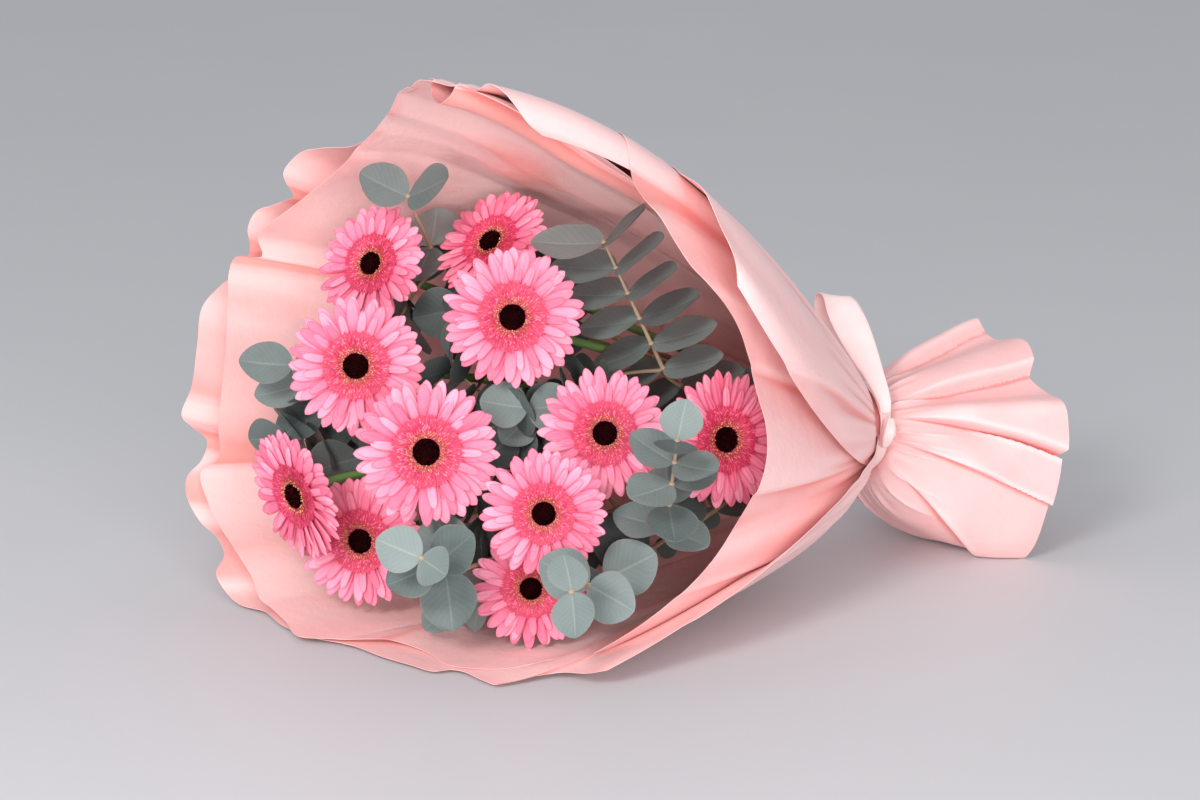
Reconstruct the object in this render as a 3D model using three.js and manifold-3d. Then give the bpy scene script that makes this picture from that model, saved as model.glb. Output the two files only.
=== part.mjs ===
// A lying bouquet: eleven gerberas and eight eucalyptus sprigs in fluted wrapping paper,
// gathered under a satin ribbon, with a paper skirt over the stem ends.
// Millimetres. +X runs toward the skirt, -Y is the side the flowers face, +Z is up.
import * as THREE from "three";
import Module from "manifold-3d";

const wasm = await Module();
wasm.setup();

// ---- driving dimensions -------------------------------------------------------------
const TIE = new THREE.Vector3(198, 87, 94); // middle of the ribbon, above the table
const AXIS = new THREE.Vector3(-0.85, -0.465, 0.245).normalize(); // tie toward flowers
const PAPER = 0.8; // sheet thickness
const NECK = 18; // reach at which the sheets leave the ribbon
const COLLAR = 11.4; // reach of the sheets' lower ends
const FLARE = 0.57; // how quickly a sheet opens underneath: radius grows as this power
const FULL_REACH = 400;
const SHEET_REACHES = [NECK, 45, 95, 165]; // rows all sheets share, below the rim's own
const WAIST = { inner: 22.9, outer: 24.5, side: 26.1, top: 27.7, last: 29.3 };
// Angles at which each sheet begins and ends at the ribbon, in degrees.
const COLLAR_TURN = {
  inner: [26, -213],
  outer: [27, -275],
  side: [-8, 140],
  top: [-40, 112],
};
const TURN_POWER = { inner: 0.9, outer: 0.7, side: 0.9, top: 1.35 };
const LIFT = { inner: 3.4, outer: 0.4, side: 1.9, top: 1.9 }; // lowest a sheet may lie
const SHEET_GAP = 1.75;

const STEM_PITCH = 6.25; // stems packed side by side at the tie
const STEM_RADIUS = 3;
const TWIG_RADIUS = 2;
const STEM_END = -92; // reach of the cut stem ends, inside the skirt

const PETALS = 16; // in each of two layers
const CUP = 0.1; // slope of a flower face
const PETAL_THICK = 0.9;
const FRINGE_SIDES = 14;
const EYE_SIDES = 10;
const LEAF_THICK = 0.8;

// Rims of the sheets, walked by hand: [angle round the axis in degrees (0 on top,
// 90 on the side toward the viewer), reach from the tie, radius].
const RIM_INNER = [
  [26, 392, 192], [17, 408, 186], [11, 412, 182], [13, 418, 176], [12, 421, 168],
  [5, 417, 166], [0, 411, 171], [-3, 406, 176], [-16, 400, 166], [-33, 392, 168],
  [-53, 392, 184], [-66, 400, 198], [-76, 413, 214], [-79, 412, 222], [-82, 406, 220],
  [-83, 428, 218], [-86, 430, 216], [-91, 429, 208], [-99, 427, 202], [-107, 427, 202],
  [-116, 427, 207], [-122, 424, 216], [-124, 432, 230], [-130, 428, 230], [-136, 424, 224],
  [-141, 420, 218], [-149, 413, 214], [-155, 414, 212], [-159, 411, 208], [-165, 409, 203],
  [-174, 412, 197], [-179, 394, 190], [-184, 373, 186], [-189, 357, 185], [-196, 349, 188],
  [-201, 348, 194], [-205, 340, 196], [-209, 321, 197], [-211, 298, 192], [-213, 274, 186],
];
const RIM_OUTER = [
  [27, 372, 195], [27, 386, 202], [26, 398, 211], [24, 405, 215], [20, 409, 212],
  [18, 410, 204], [14, 412, 196], [8, 416, 192], [2, 418, 190], [-11, 410, 181],
  [-36, 390, 181], [-50, 388, 198], [-58, 392, 221], [-63, 397, 236], [-67, 402, 236],
  [-68, 401, 226], [-69, 397, 217], [-73, 403, 229], [-76, 410, 240], [-79, 413, 238],
  [-82, 409, 234], [-86, 410, 237], [-90, 424, 238], [-94, 434, 239], [-100, 436, 234],
  [-108, 438, 233], [-113, 442, 240], [-115, 438, 233], [-118, 428, 226], [-121, 428, 236],
  [-124, 438, 240], [-127, 438, 243], [-131, 427, 248], [-135, 420, 238], [-140, 420, 231],
  [-144, 429, 232], [-148, 424, 233], [-153, 420, 226], [-157, 410, 219], [-165, 410, 209],
  [-174, 402, 201], [-182, 384, 197], [-190, 376, 198], [-197, 366, 200], [-202, 358, 203],
  [-203, 348, 200], [-205, 342, 202], [-210, 338, 210], [-213, 334, 215], [-213, 325, 212],
  [-214, 307, 207], [-217, 292, 205], [-223, 284, 213], [-225, 276, 214],
];
const RIM_SIDE = [
  [-8, 280, 177], [6, 291, 180], [18, 301, 188], [25, 303, 190], [29, 297, 181],
  [33, 290, 176], [37, 283, 175], [43, 275, 173], [48, 265, 171], [51, 250, 166],
  [54, 228, 153], [58, 211, 141], [64, 199, 131], [74, 188, 127], [83, 180, 129],
  [94, 178, 134], [103, 182, 139], [111, 188, 143], [118, 201, 156], [124, 213, 165],
  [130, 236, 181], [136, 256, 191], [140, 272, 198],
];
const RIM_TOP = [
  [-4, 238, 168], [8, 245, 170], [17, 249, 175], [25, 253, 183], [34, 257, 193],
  [42, 252, 191], [49, 243, 187], [53, 236, 176],
];
const HEM = [
  [-150, -108, 76], [-122, -104, 88], [-96, -110, 82], [-70, -104, 95], [-50, -109, 85],
  [-30, -106, 97], [-17, -111, 84], [3, -114, 81], [24, -109, 73], [44, -112, 74],
  [56, -109, 86], [68, -112, 82], [88, -112, 84], [111, -112, 89], [133, -111, 96],
  [150, -106, 92], [170, -110, 84], [190, -106, 84],
];
const SKIRT_COLUMNS = 38;
const SKIRT_REACH = [10.7, 4.5, -6, -34, -72, 0];

// Flowers: place of the middle, way it faces, radius, slot of its stem in the packing.
const FLOWERS = [
  { at: [-160, 19, 234], face: [-0.49, -0.75, 0.44], r: 43, slot: [-2, 1] },
  { at: [-76, 8, 252], face: [-0.45, -0.55, 0.7], r: 42.5, slot: [-2, 2] },
  { at: [-60, -62, 216], face: [0.01, -0.94, 0.34], r: 47, slot: [-1, 2] },
  { at: [-166, -61, 182], face: [-0.06, -0.97, 0.24], r: 46.5, slot: [-1, 0] },
  { at: [-116, -117, 138], face: [-0.01, -0.96, 0.26], r: 48, slot: [0, -1] },
  { at: [-208, -69, 93], face: [-0.72, -0.68, -0.14], r: 46, slot: [-1, -1] },
  { at: [-165, -66, 59], face: [-0.25, -0.95, 0.19], r: 44.5, slot: [0, -2] },
  { at: [2, -104, 147], face: [0.1, -0.94, 0.31], r: 43.5, slot: [0, 1] },
  { at: [-38, -138, 102], face: [-0.02, -0.98, 0.21], r: 42, slot: [1, 0] },
  { at: [83, -78, 135], face: [0.47, -0.84, 0.25], r: 46, slot: [1, 1] },
  { at: [-47, -124, 45], face: [-0.08, -0.98, 0.16], r: 40, slot: [2, -2] },
];

// Sprigs: foot and tip of the leafy part, roll of the tip pair and turn from one pair to
// the next, number of pairs, leaf length at tip and foot, opening from the twig.
const SPRIGS = [
  { foot: [-120, 42, 240], tip: [-134, 8, 286], roll: 168, twist: 90, pairs: 2,
    leaf: [40, 35], open: 84, slot: [-1, 1.12] },
  { foot: [-196, -2, 140], tip: [-213, -28, 175], roll: 175, twist: 20, pairs: 3,
    leaf: [36, 38], open: 84, slot: [-1.88, 0] },
  { foot: [43, -21, 168], tip: [1, -42, 265], roll: 164, twist: 2, pairs: 6,
    leaf: [48, 46], open: 92, slot: [0, 2] },
  { foot: [-46, -40, 136], tip: [-50, -72, 156], roll: 170, twist: 60, pairs: 3,
    leaf: [32, 28], open: 94, slot: [0.12, 0] },
  { foot: [43, -128, 89], tip: [49, -167, 162], roll: 86, twist: 62, pairs: 5,
    leaf: [31, 35], open: 88, slot: [1.88, 0] },
  { foot: [-103, -137, 61], tip: [-117, -182, 86], roll: 150, twist: 62, pairs: 3,
    leaf: [30, 39], open: 88, slot: [0.88, -1] },
  { foot: [-83, -93, 31], tip: [-103, -114, 29], roll: 236, twist: 60, pairs: 2,
    leaf: [23, 28], open: 64, slot: [1.12, -2] },
  { foot: [3, -128, 53], tip: [-20, -195, 67], roll: 100, twist: 55, pairs: 3,
    leaf: [30, 40], open: 94, slot: [2, -1.12] },
];

const BAND = { inner: 30.6, outer: 31.7, from: 5, to: 16.8, sides: 30 };
const CORD = { inner: 16.35, outer: 22, from: 8, to: 16, sides: 24 };

const COLOUR = {
  petal: "#f58bb6",
  fringe: "#e8447f",
  eye: "#2a0d12",
  stem: "#6f9a45",
  leaf: "#71918a",
  paper: "#f4b9b4",
  ribbon: "#efb0ad",
  cord: "#c9b28a",
};

// ---- small helpers ------------------------------------------------------------------
const rad = (deg) => (deg * Math.PI) / 180;
const mix = (a, b, t) => a + (b - a) * t;
const vec = (list) => new THREE.Vector3(list[0], list[1], list[2]);

const TOP_WAY = new THREE.Vector3(0, 0, 1).addScaledVector(AXIS, -AXIS.z).normalize();
const SIDE_WAY = new THREE.Vector3().crossVectors(TOP_WAY, AXIS).normalize();

function noise(n) {
  const s = Math.sin(n * 12.9898) * 43758.5453;
  return s - Math.floor(s);
}

function smoothstep(t) {
  const c = Math.min(1, Math.max(0, t));
  return c * c * (3 - 2 * c);
}

// A point given round the bouquet's axis.
function place(angle, reach, r) {
  return TIE.clone()
    .addScaledVector(AXIS, reach)
    .addScaledVector(TOP_WAY, r * Math.cos(angle))
    .addScaledVector(SIDE_WAY, r * Math.sin(angle));
}

// The same point's angle, reach and radius.
function measure(point) {
  const v = point.clone().sub(TIE);
  const reach = v.dot(AXIS);
  const up = v.dot(TOP_WAY);
  const side = v.dot(SIDE_WAY);
  return { angle: Math.atan2(side, up), reach, r: Math.hypot(up, side) };
}

const group = new THREE.Group();

function addNode(name, points, faces, colour) {
  const geometry = new THREE.BufferGeometry();
  const flat = [];
  for (const p of points) {
    flat.push(p.x, p.y, p.z);
  }
  geometry.setAttribute("position", new THREE.Float32BufferAttribute(flat, 3));
  geometry.setIndex(faces.flat());
  geometry.computeVertexNormals();
  const material = new THREE.MeshStandardMaterial({ color: colour, roughness: 0.7 });
  const mesh = new THREE.Mesh(geometry, material);
  mesh.name = name;
  group.add(mesh);
}

// ---- paper sheets -------------------------------------------------------------------
function resample(rows, count) {
  const scale = 200; // a radian of angle counts as this many millimetres
  const points = rows.map(([deg, reach, r]) => new THREE.Vector3(rad(deg) * scale, reach, r));
  const curve = new THREE.CatmullRomCurve3(points, false, "centripetal");
  return curve.getSpacedPoints(count).map((p) => [p.x / scale, p.y, p.z]);
}

function smoothed(rows, passes) {
  let now = rows.map((row) => [...row]);
  for (let pass = 0; pass < passes; pass += 1) {
    const next = now.map((row) => [...row]);
    for (let i = 1; i < now.length - 1; i += 1) {
      for (let c = 0; c < 3; c += 1) {
        next[i][c] = (now[i - 1][c] + 2 * now[i][c] + now[i + 1][c]) / 4;
      }
    }
    now = next;
  }
  return now;
}

// How far a sheet has opened, 0 at the ribbon: a straight flare on top, a shoulder below.
function opening(reach, angle) {
  const t = Math.max(0, (reach - NECK) / (FULL_REACH - NECK));
  const high = smoothstep((Math.cos(angle - 0.1) + 0.6) / 1.3);
  const straight = 0.9 * Math.sin((Math.PI / 2) * Math.min(1, t)) + 0.1 * Math.sqrt(t);
  return mix(t ** FLARE, straight, high);
}

// The sheets overlap in a round: each lies over the last where it begins, and the
// outer sheet's far end comes over them all.
function waistOf(name, angle, u) {
  if (name === "side") {
    return mix(WAIST.side, WAIST.inner, smoothstep((angle - 1) / 0.7));
  }
  if (name === "outer") {
    return mix(WAIST.outer, WAIST.last, smoothstep((u - 0.72) / 0.12));
  }
  return WAIST[name];
}

// Reach of a row: the shared ones first, then one on the way to the rim, then the rim.
function rowReach(j, rim) {
  const shared = SHEET_REACHES.length;
  if (j < shared) {
    return SHEET_REACHES[j];
  }
  return j === shared ? mix(SHEET_REACHES[shared - 1], rim, 0.55) : rim;
}

// Middle surface of a sheet: rows run from the collar to the rim.
function sheetGrid(name, rim, columns) {
  const edge = resample(rim, columns);
  const calm = smoothed(edge, 14);
  const [first, last] = COLLAR_TURN[name].map(rad);
  const collar = edge.map((row, i) => {
    const even = mix(first, last, i / columns);
    return place(even, COLLAR, waistOf(name, even, i / columns));
  });
  const grid = [collar];
  for (let j = 0; j < SHEET_REACHES.length + 2; j += 1) {
    const row = [];
    for (let i = 0; i <= columns; i += 1) {
      const [angle, reach, r] = calm[i];
      const even = mix(first, last, i / columns);
      const here = rowReach(j, reach);
      const s = (here - NECK) / (reach - NECK);
      const turn = mix(even, angle, s ** TURN_POWER[name]);
      const waist = waistOf(name, even, i / columns);
      const open = opening(here, turn) / opening(reach, turn);
      const base = place(turn, here, mix(waist, r, open));
      const flute = place(...edge[i]).sub(place(angle, reach, r));
      row.push(base.addScaledVector(flute, s));
    }
    grid.push(row);
  }
  return grid;
}

// The two flat faces of each cell of a grid, with the cell they belong to.
function cellFaces(grid) {
  const found = [];
  for (let j = 0; j < grid.length - 1; j += 1) {
    for (let i = 0; i < grid[j].length - 1; i += 1) {
      const a = grid[j][i];
      const c = grid[j + 1][i + 1];
      found.push({ corners: [a, grid[j][i + 1], c], j, i });
      found.push({ corners: [a, c, grid[j + 1][i]], j, i });
    }
  }
  return found;
}

const SETTLE_PASSES = 5; // rounds in which one sheet moves clear of another
const LEAST_LEAN = 0.45; // a steeper face asks for no more room than this lean does
const FARTHEST = 40; // a sheet farther inside than this is another turn of the wrap
const LARGEST_MOVE = 30;
const EASE = 0.7; // share of the asked move that one round makes

const BIN_ANGLE = Math.PI / 30;
const BIN_REACH = 15;

function binOf(angle, reach) {
  const turn = Math.round(angle / BIN_ANGLE);
  return `${((turn % 60) + 60) % 60},${Math.round(reach / BIN_REACH)}`;
}

// Files a grid's faces by angle and reach, so that a radius is quickly looked up.
function fileFaces(grid) {
  const bins = new Map();
  for (const face of cellFaces(grid)) {
    const [a, b, c] = face.corners.map(measure);
    const turns = [b, c].map((m) => {
      const d = m.angle - a.angle;
      return a.angle + Math.atan2(Math.sin(d), Math.cos(d));
    });
    const angles = [a.angle, ...turns];
    const reaches = [a.reach, b.reach, c.reach];
    const keys = new Set();
    for (let t = Math.min(...angles) - 0.06; t < Math.max(...angles) + 0.12; t += 0.06) {
      for (let l = Math.min(...reaches) - 8; l < Math.max(...reaches) + 16; l += 8) {
        keys.add(binOf(t, l));
      }
    }
    for (const key of keys) {
      if (!bins.has(key)) {
        bins.set(key, []);
      }
      bins.get(key).push(face);
    }
  }
  return bins;
}

// Where the line out from the axis at this angle and reach meets a filed grid.
function meetings(bins, angle, reach) {
  const from = place(angle, reach, 0);
  const way = place(angle, reach, 1).sub(from);
  const found = [];
  for (const face of bins.get(binOf(angle, reach)) ?? []) {
    const [a, b, c] = face.corners;
    const n = b.clone().sub(a).cross(c.clone().sub(a)).normalize();
    const lean = n.dot(way);
    if (Math.abs(lean) < 0.02) {
      continue;
    }
    const r = n.dot(a.clone().sub(from)) / lean;
    const hit = from.clone().addScaledVector(way, r);
    const weights = THREE.Triangle.getBarycoord(hit, a, b, c, new THREE.Vector3());
    if (r > 0 && weights && Math.min(weights.x, weights.y, weights.z) > -0.03) {
      found.push({ r, lean: Math.abs(lean), face });
    }
  }
  return found;
}

// How much further out a sheet must lie here to clear the filed sheets under it.
function shortfall(bins, at) {
  let need = 0;
  for (const { r, lean } of meetings(bins, at.angle, at.reach)) {
    need = Math.max(need, r + SHEET_GAP / Math.max(LEAST_LEAN, lean) - at.r);
  }
  return need;
}

// Moves a sheet's rows outward, from a share of its width on, until it lies over another.
function settle(grid, under, from, lift) {
  const first = Math.round(from * (grid[0].length - 1));
  const filed = fileFaces(under);
  for (let pass = 0; pass < SETTLE_PASSES; pass += 1) {
    const push = grid.map((row) => row.map(() => 0));
    const ask = (face, amount) => {
      for (const [j, i] of [[0, 0], [0, 1], [1, 0], [1, 1]]) {
        const now = push[face.j + j][face.i + i];
        push[face.j + j][face.i + i] = Math.max(now, amount);
      }
    };
    for (const face of cellFaces(grid)) {
      const [a, b, c] = face.corners;
      for (let k = 0; k < 15 && face.i >= first; k += 1) {
        const u = (k % 5) / 4;
        const v = (Math.floor(k / 5) / 2) * (1 - u);
        const p = a.clone().lerp(b, u).addScaledVector(c.clone().sub(a), v);
        ask(face, shortfall(filed, measure(p)));
      }
    }
    const own = fileFaces(grid);
    for (const corner of under.flat()) {
      const at = measure(corner);
      for (const { r, lean, face } of meetings(own, at.angle, at.reach)) {
        const need = at.r + SHEET_GAP / Math.max(LEAST_LEAN, lean) - r;
        if (face.i >= first && need > 0 && need < FARTHEST) {
          ask(face, need);
        }
      }
    }
    for (let j = 2; j < grid.length; j += 1) {
      for (let i = first; i < grid[j].length; i += 1) {
        const at = measure(grid[j][i]);
        const move = Math.min(push[j][i], LARGEST_MOVE) * EASE;
        grid[j][i] = place(at.angle, at.reach, at.r + move);
        grid[j][i].z = Math.max(grid[j][i].z, lift);
      }
    }
  }
}

function faceNormal(grid, j, i) {
  const rows = grid.length - 1;
  const columns = grid[0].length - 1;
  const alongRow = grid[j][Math.min(columns, i + 1)].clone().sub(grid[j][Math.max(0, i - 1)]);
  const upward = grid[Math.min(rows, j + 1)][i].clone().sub(grid[Math.max(0, j - 1)][i]);
  return alongRow.cross(upward).normalize();
}

// Gives a grid its thickness and closes it all round.
function thickSheet(grid, floor, closed) {
  const rows = grid.length;
  const columns = grid[0].length;
  const probe = faceNormal(grid, 0, 1);
  const out = grid[0][1].clone().sub(TIE).addScaledVector(AXIS, -measure(grid[0][1]).reach);
  const sign = probe.dot(out) > 0 ? 1 : -1;
  const points = [];
  for (const side of [1, -1]) {
    for (let j = 0; j < rows; j += 1) {
      for (let i = 0; i < columns; i += 1) {
        const n = faceNormal(closed ? wrapGrid(grid) : grid, j, closed ? i + 1 : i);
        const p = grid[j][i].clone().addScaledVector(n, (sign * side * PAPER) / 2);
        const lowest = side === 1 ? floor - PAPER / 2 : floor + PAPER / 2;
        p.z = p.z < lowest + 0.2 ? lowest : p.z;
        points.push(p);
      }
    }
  }
  const at = (side, j, i) => side * rows * columns + j * columns + (i % columns);
  const faces = [];
  const quad = (a, b, c, d) => {
    if (sign > 0) {
      faces.push([a, b, c], [a, c, d]);
    } else {
      faces.push([a, c, b], [a, d, c]);
    }
  };
  const spans = closed ? columns : columns - 1;
  for (let j = 0; j < rows - 1; j += 1) {
    for (let i = 0; i < spans; i += 1) {
      quad(at(0, j, i), at(0, j, i + 1), at(0, j + 1, i + 1), at(0, j + 1, i));
      quad(at(1, j, i), at(1, j + 1, i), at(1, j + 1, i + 1), at(1, j, i + 1));
    }
  }
  for (let i = 0; i < spans; i += 1) {
    quad(at(0, 0, i), at(1, 0, i), at(1, 0, i + 1), at(0, 0, i + 1));
    quad(at(0, rows - 1, i), at(0, rows - 1, i + 1), at(1, rows - 1, i + 1), at(1, rows - 1, i));
  }
  if (!closed) {
    const end = columns - 1;
    for (let j = 0; j < rows - 1; j += 1) {
      quad(at(0, j, 0), at(0, j + 1, 0), at(1, j + 1, 0), at(1, j, 0));
      quad(at(0, j, end), at(1, j, end), at(1, j + 1, end), at(0, j + 1, end));
    }
  }
  return { points, faces };
}

function wrapGrid(grid) {
  return grid.map((row) => [row[row.length - 1], ...row, row[0]]);
}

function buildSheets() {
  const plan = [
    ["inner", RIM_INNER, 48],
    ["outer", RIM_OUTER, 68],
    ["side", RIM_SIDE, 30],
    ["top", RIM_TOP, 12],
  ];
  const grids = {};
  for (const [name, rim, columns] of plan) {
    grids[name] = sheetGrid(name, rim, columns);
    for (const p of grids[name].flat()) {
      p.z = Math.max(p.z, LIFT[name]);
    }
  }
  const { inner, outer, side, top } = grids;
  const begun = outer.map((row) => row.slice(0, Math.round(row.length * 0.6)));
  settle(outer, inner, 0, LIFT.outer);
  settle(side, inner, 0, LIFT.side);
  settle(side, begun, 0, LIFT.side);
  settle(top, inner, 0, LIFT.top);
  settle(top, begun, 0, LIFT.top);
  settle(top, side, 0, LIFT.top);
  settle(outer, side, 0.72, LIFT.outer);
  settle(outer, top, 0.72, LIFT.outer);
  for (const [name] of plan) {
    const { points, faces } = thickSheet(grids[name], LIFT[name], false);
    addNode(`wrap_sheet_${name}`, points, faces, COLOUR.paper);
  }
}

function buildSkirt() {
  const turn = HEM.map(([deg, reach, r]) => [deg, reach, r]);
  turn.push([HEM[0][0] + 360, HEM[0][1], HEM[0][2]]);
  const hem = resample(turn, SKIRT_COLUMNS).slice(0, SKIRT_COLUMNS);
  const waist = WAIST.side;
  const grid = SKIRT_REACH.map((reach, j) =>
    hem.map(([angle, hemReach, hemRadius]) => {
      if (j < 2) {
        return place(angle, reach, waist);
      }
      const end = reach === 0 ? hemReach : reach;
      const s = (end - SKIRT_REACH[1]) / (hemReach - SKIRT_REACH[1]);
      const power = mix(0.75, 0.36, smoothstep((0.2 - Math.cos(angle)) / 1.2));
      const p = place(angle, end, mix(waist, hemRadius, s ** power));
      p.z = Math.max(p.z, 0.4);
      return p;
    }),
  );
  const { points, faces } = thickSheet(grid, 0.4, true);
  addNode("wrap_skirt", points, faces, COLOUR.paper);
}

// ---- round things -------------------------------------------------------------------
// Stacks rings of equal count into a closed body with flat or domed ends.
function tube(path, radii, sides) {
  const points = [];
  const faces = [];
  let across = new THREE.Vector3();
  path.forEach((p, k) => {
    const before = path[Math.max(0, k - 1)];
    const after = path[Math.min(path.length - 1, k + 1)];
    const t = after.clone().sub(before).normalize();
    if (k === 0) {
      across.crossVectors(t, Math.abs(t.z) < 0.9 ? new THREE.Vector3(0, 0, 1) : TOP_WAY);
    }
    across = across.addScaledVector(t, -across.dot(t)).normalize();
    const other = t.clone().cross(across);
    for (let i = 0; i < sides; i += 1) {
      const a = (i / sides) * Math.PI * 2;
      points.push(
        p.clone()
          .addScaledVector(across, radii[k] * Math.cos(a))
          .addScaledVector(other, radii[k] * Math.sin(a)),
      );
    }
  });
  for (let k = 0; k < path.length - 1; k += 1) {
    for (let i = 0; i < sides; i += 1) {
      const a = k * sides + i;
      const b = k * sides + ((i + 1) % sides);
      faces.push([a, b, b + sides], [a, b + sides, a + sides]);
    }
  }
  const lastRing = (path.length - 1) * sides;
  for (let i = 1; i < sides - 1; i += 1) {
    faces.push([0, i + 1, i], [lastRing, lastRing + i, lastRing + i + 1]);
  }
  return { points, faces };
}

// A square-edged ring about the bouquet's axis.
function ringBody(inner, outer, from, to, sides) {
  const points = [];
  const faces = [];
  const corners = [[outer, from], [outer, to], [inner, to], [inner, from]];
  for (const [r, reach] of corners) {
    for (let i = 0; i < sides; i += 1) {
      points.push(place((i / sides) * Math.PI * 2, reach, r / Math.cos(Math.PI / sides)));
    }
  }
  for (let c = 0; c < 4; c += 1) {
    const d = (c + 1) % 4;
    for (let i = 0; i < sides; i += 1) {
      const n = (i + 1) % sides;
      faces.push([c * sides + i, d * sides + n, c * sides + n]);
      faces.push([c * sides + i, d * sides + i, d * sides + n]);
    }
  }
  return { points, faces };
}

function toManifold({ points, faces }) {
  const mesh = new wasm.Mesh({
    numProp: 3,
    vertProperties: Float32Array.from(points.flatMap((p) => [p.x, p.y, p.z])),
    triVerts: Uint32Array.from(faces.flat()),
  });
  return new wasm.Manifold(mesh);
}

function fromManifold(body) {
  const mesh = body.getMesh();
  const points = [];
  for (let i = 0; i < mesh.vertProperties.length; i += mesh.numProp) {
    points.push(vec(mesh.vertProperties.slice(i, i + 3)));
  }
  const faces = [];
  for (let i = 0; i < mesh.triVerts.length; i += 3) {
    faces.push(Array.from(mesh.triVerts.slice(i, i + 3)));
  }
  return { points, faces };
}

function fuse(parts) {
  let body = toManifold(parts[0]);
  for (const part of parts.slice(1)) {
    body = body.add(toManifold(part));
  }
  return fromManifold(body);
}

// ---- stems --------------------------------------------------------------------------
function slotPoint([q, r], reach) {
  const spread = 1 + Math.max(0, -reach) * 0.006;
  const side = STEM_PITCH * (q + r / 2) * spread;
  const up = STEM_PITCH * r * 0.866 * spread;
  return TIE.clone()
    .addScaledVector(AXIS, reach)
    .addScaledVector(SIDE_WAY, side)
    .addScaledVector(TOP_WAY, up);
}

// From the packing at the tie in one bend to a point, arriving along a direction.
function stemPath(slot, goal, arrive) {
  const start = slotPoint(slot, 24);
  const span = goal.distanceTo(start);
  const leave = AXIS.clone().multiplyScalar(span * 0.35);
  leave.addScaledVector(goal.clone().sub(start), 0.65);
  const reachIn = arrive.clone().multiplyScalar(Math.min(span * 0.5, 110));
  const path = [slotPoint(slot, STEM_END), start];
  for (const t of [0.25, 0.5, 0.72, 0.88, 1]) {
    const p = start.clone().multiplyScalar(2 * t ** 3 - 3 * t ** 2 + 1);
    p.addScaledVector(leave, t ** 3 - 2 * t ** 2 + t);
    p.addScaledVector(goal, -2 * t ** 3 + 3 * t ** 2);
    p.addScaledVector(reachIn, t ** 3 - t ** 2);
    path.push(p);
  }
  return path;
}

// ---- flowers ------------------------------------------------------------------------
const HEAD_DEPTH = 4.5; // from the middle of the face to the back of the petals

function headFrame(at, face) {
  const n = vec(face).normalize();
  const x = new THREE.Vector3(0, 0, 1).cross(n).normalize();
  const y = n.clone().cross(x);
  const origin = vec(at);
  return (u, v, w) =>
    origin.clone().addScaledVector(x, u).addScaledVector(y, v).addScaledVector(n, w);
}

// Two layers of ray petals on one hub, as a single closed body.
function petals(R, seed, put) {
  const step = (Math.PI * 2) / PETALS;
  const polar = (r, a, z) => put(r * Math.cos(a), r * Math.sin(a), z);
  const points = [polar(0, 0, 0)];
  const front = [];
  const back = [];
  for (let i = 0; i < PETALS; i += 1) {
    const mid = (i + 0.5) * step;
    const long = R * (0.96 + 0.06 * noise(seed + i));
    const droop = 0.5 + 1.4 * noise(seed + i + 50);
    front.push([0.6 * R, mid - 0.5 * step, 0]);
    front.push([0.88 * long, mid - 0.31 * step, droop * 0.5]);
    front.push([long, mid + 0.05 * step, droop]);
    front.push([0.9 * long, mid + 0.32 * step, droop * 0.5]);
    const far = R * (0.93 + 0.05 * noise(seed + i + 90));
    back.push([far, i * step - 0.2 * step, 0.8 * noise(seed + i + 130)]);
    back.push([far, i * step + 0.22 * step, 0.8 * noise(seed + i + 170)]);
    back.push([0.62 * R, mid, 0]);
  }
  const ring = (list, drop) => {
    const from = points.length;
    for (const [r, a, extra] of list) {
      points.push(polar(r, a, CUP * r - drop - extra));
    }
    return (i) => from + ((i + list.length) % list.length);
  };
  const A = ring(front, 0);
  const B = ring(front, PETAL_THICK);
  const groove = Array.from({ length: PETALS }, (_, i) => [0.42 * R, i * step, 0]);
  const C = ring(groove, PETAL_THICK + 0.5);
  const D = ring(back, 3.2);
  const E = ring(back, 3.2 + PETAL_THICK);
  const foot = points.length;
  points.push(polar(0, 0, -HEAD_DEPTH));
  const faces = [];
  for (let i = 0; i < front.length; i += 1) {
    faces.push([0, A(i), A(i + 1)]);
    faces.push([A(i), B(i), B(i + 1)], [A(i), B(i + 1), A(i + 1)]);
  }
  for (let i = 0; i < back.length; i += 1) {
    faces.push([D(i), E(i), E(i + 1)], [D(i), E(i + 1), D(i + 1)]);
    faces.push([foot, E(i + 1), E(i)]);
  }
  for (let i = 0; i < PETALS; i += 1) {
    const f = 4 * i;
    faces.push([C(i), B(f + 1), B(f)], [C(i), B(f + 2), B(f + 1)]);
    faces.push([C(i), C(i + 1), B(f + 2)]);
    faces.push([C(i + 1), B(f + 3), B(f + 2)], [C(i + 1), B(f + 4), B(f + 3)]);
    const b = 3 * i;
    faces.push([C(i), D(b - 1), D(b)], [C(i), D(b), D(b + 1)], [C(i), D(b + 1), D(b + 2)]);
    faces.push([C(i), D(b + 2), C(i + 1)]);
  }
  return { points, faces };
}

// A closed body turned about the face's own axis from [radius, height] corners.
function turned(corners, sides, put, capped) {
  const points = [];
  const faces = [];
  for (const [r, z] of corners) {
    for (let i = 0; i < sides; i += 1) {
      const a = (i / sides) * Math.PI * 2;
      points.push(put(r * Math.cos(a), r * Math.sin(a), z));
    }
  }
  const rings = corners.length;
  const pairs = capped ? rings - 1 : rings;
  for (let c = 0; c < pairs; c += 1) {
    const d = (c + 1) % rings;
    for (let i = 0; i < sides; i += 1) {
      const n = (i + 1) % sides;
      faces.push([c * sides + i, c * sides + n, d * sides + n]);
      faces.push([c * sides + i, d * sides + n, d * sides + i]);
    }
  }
  if (capped) {
    const last = (rings - 1) * sides;
    for (let i = 1; i < sides - 1; i += 1) {
      faces.push([0, i + 1, i], [last, last + i, last + i + 1]);
    }
  }
  return { points, faces };
}

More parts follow.
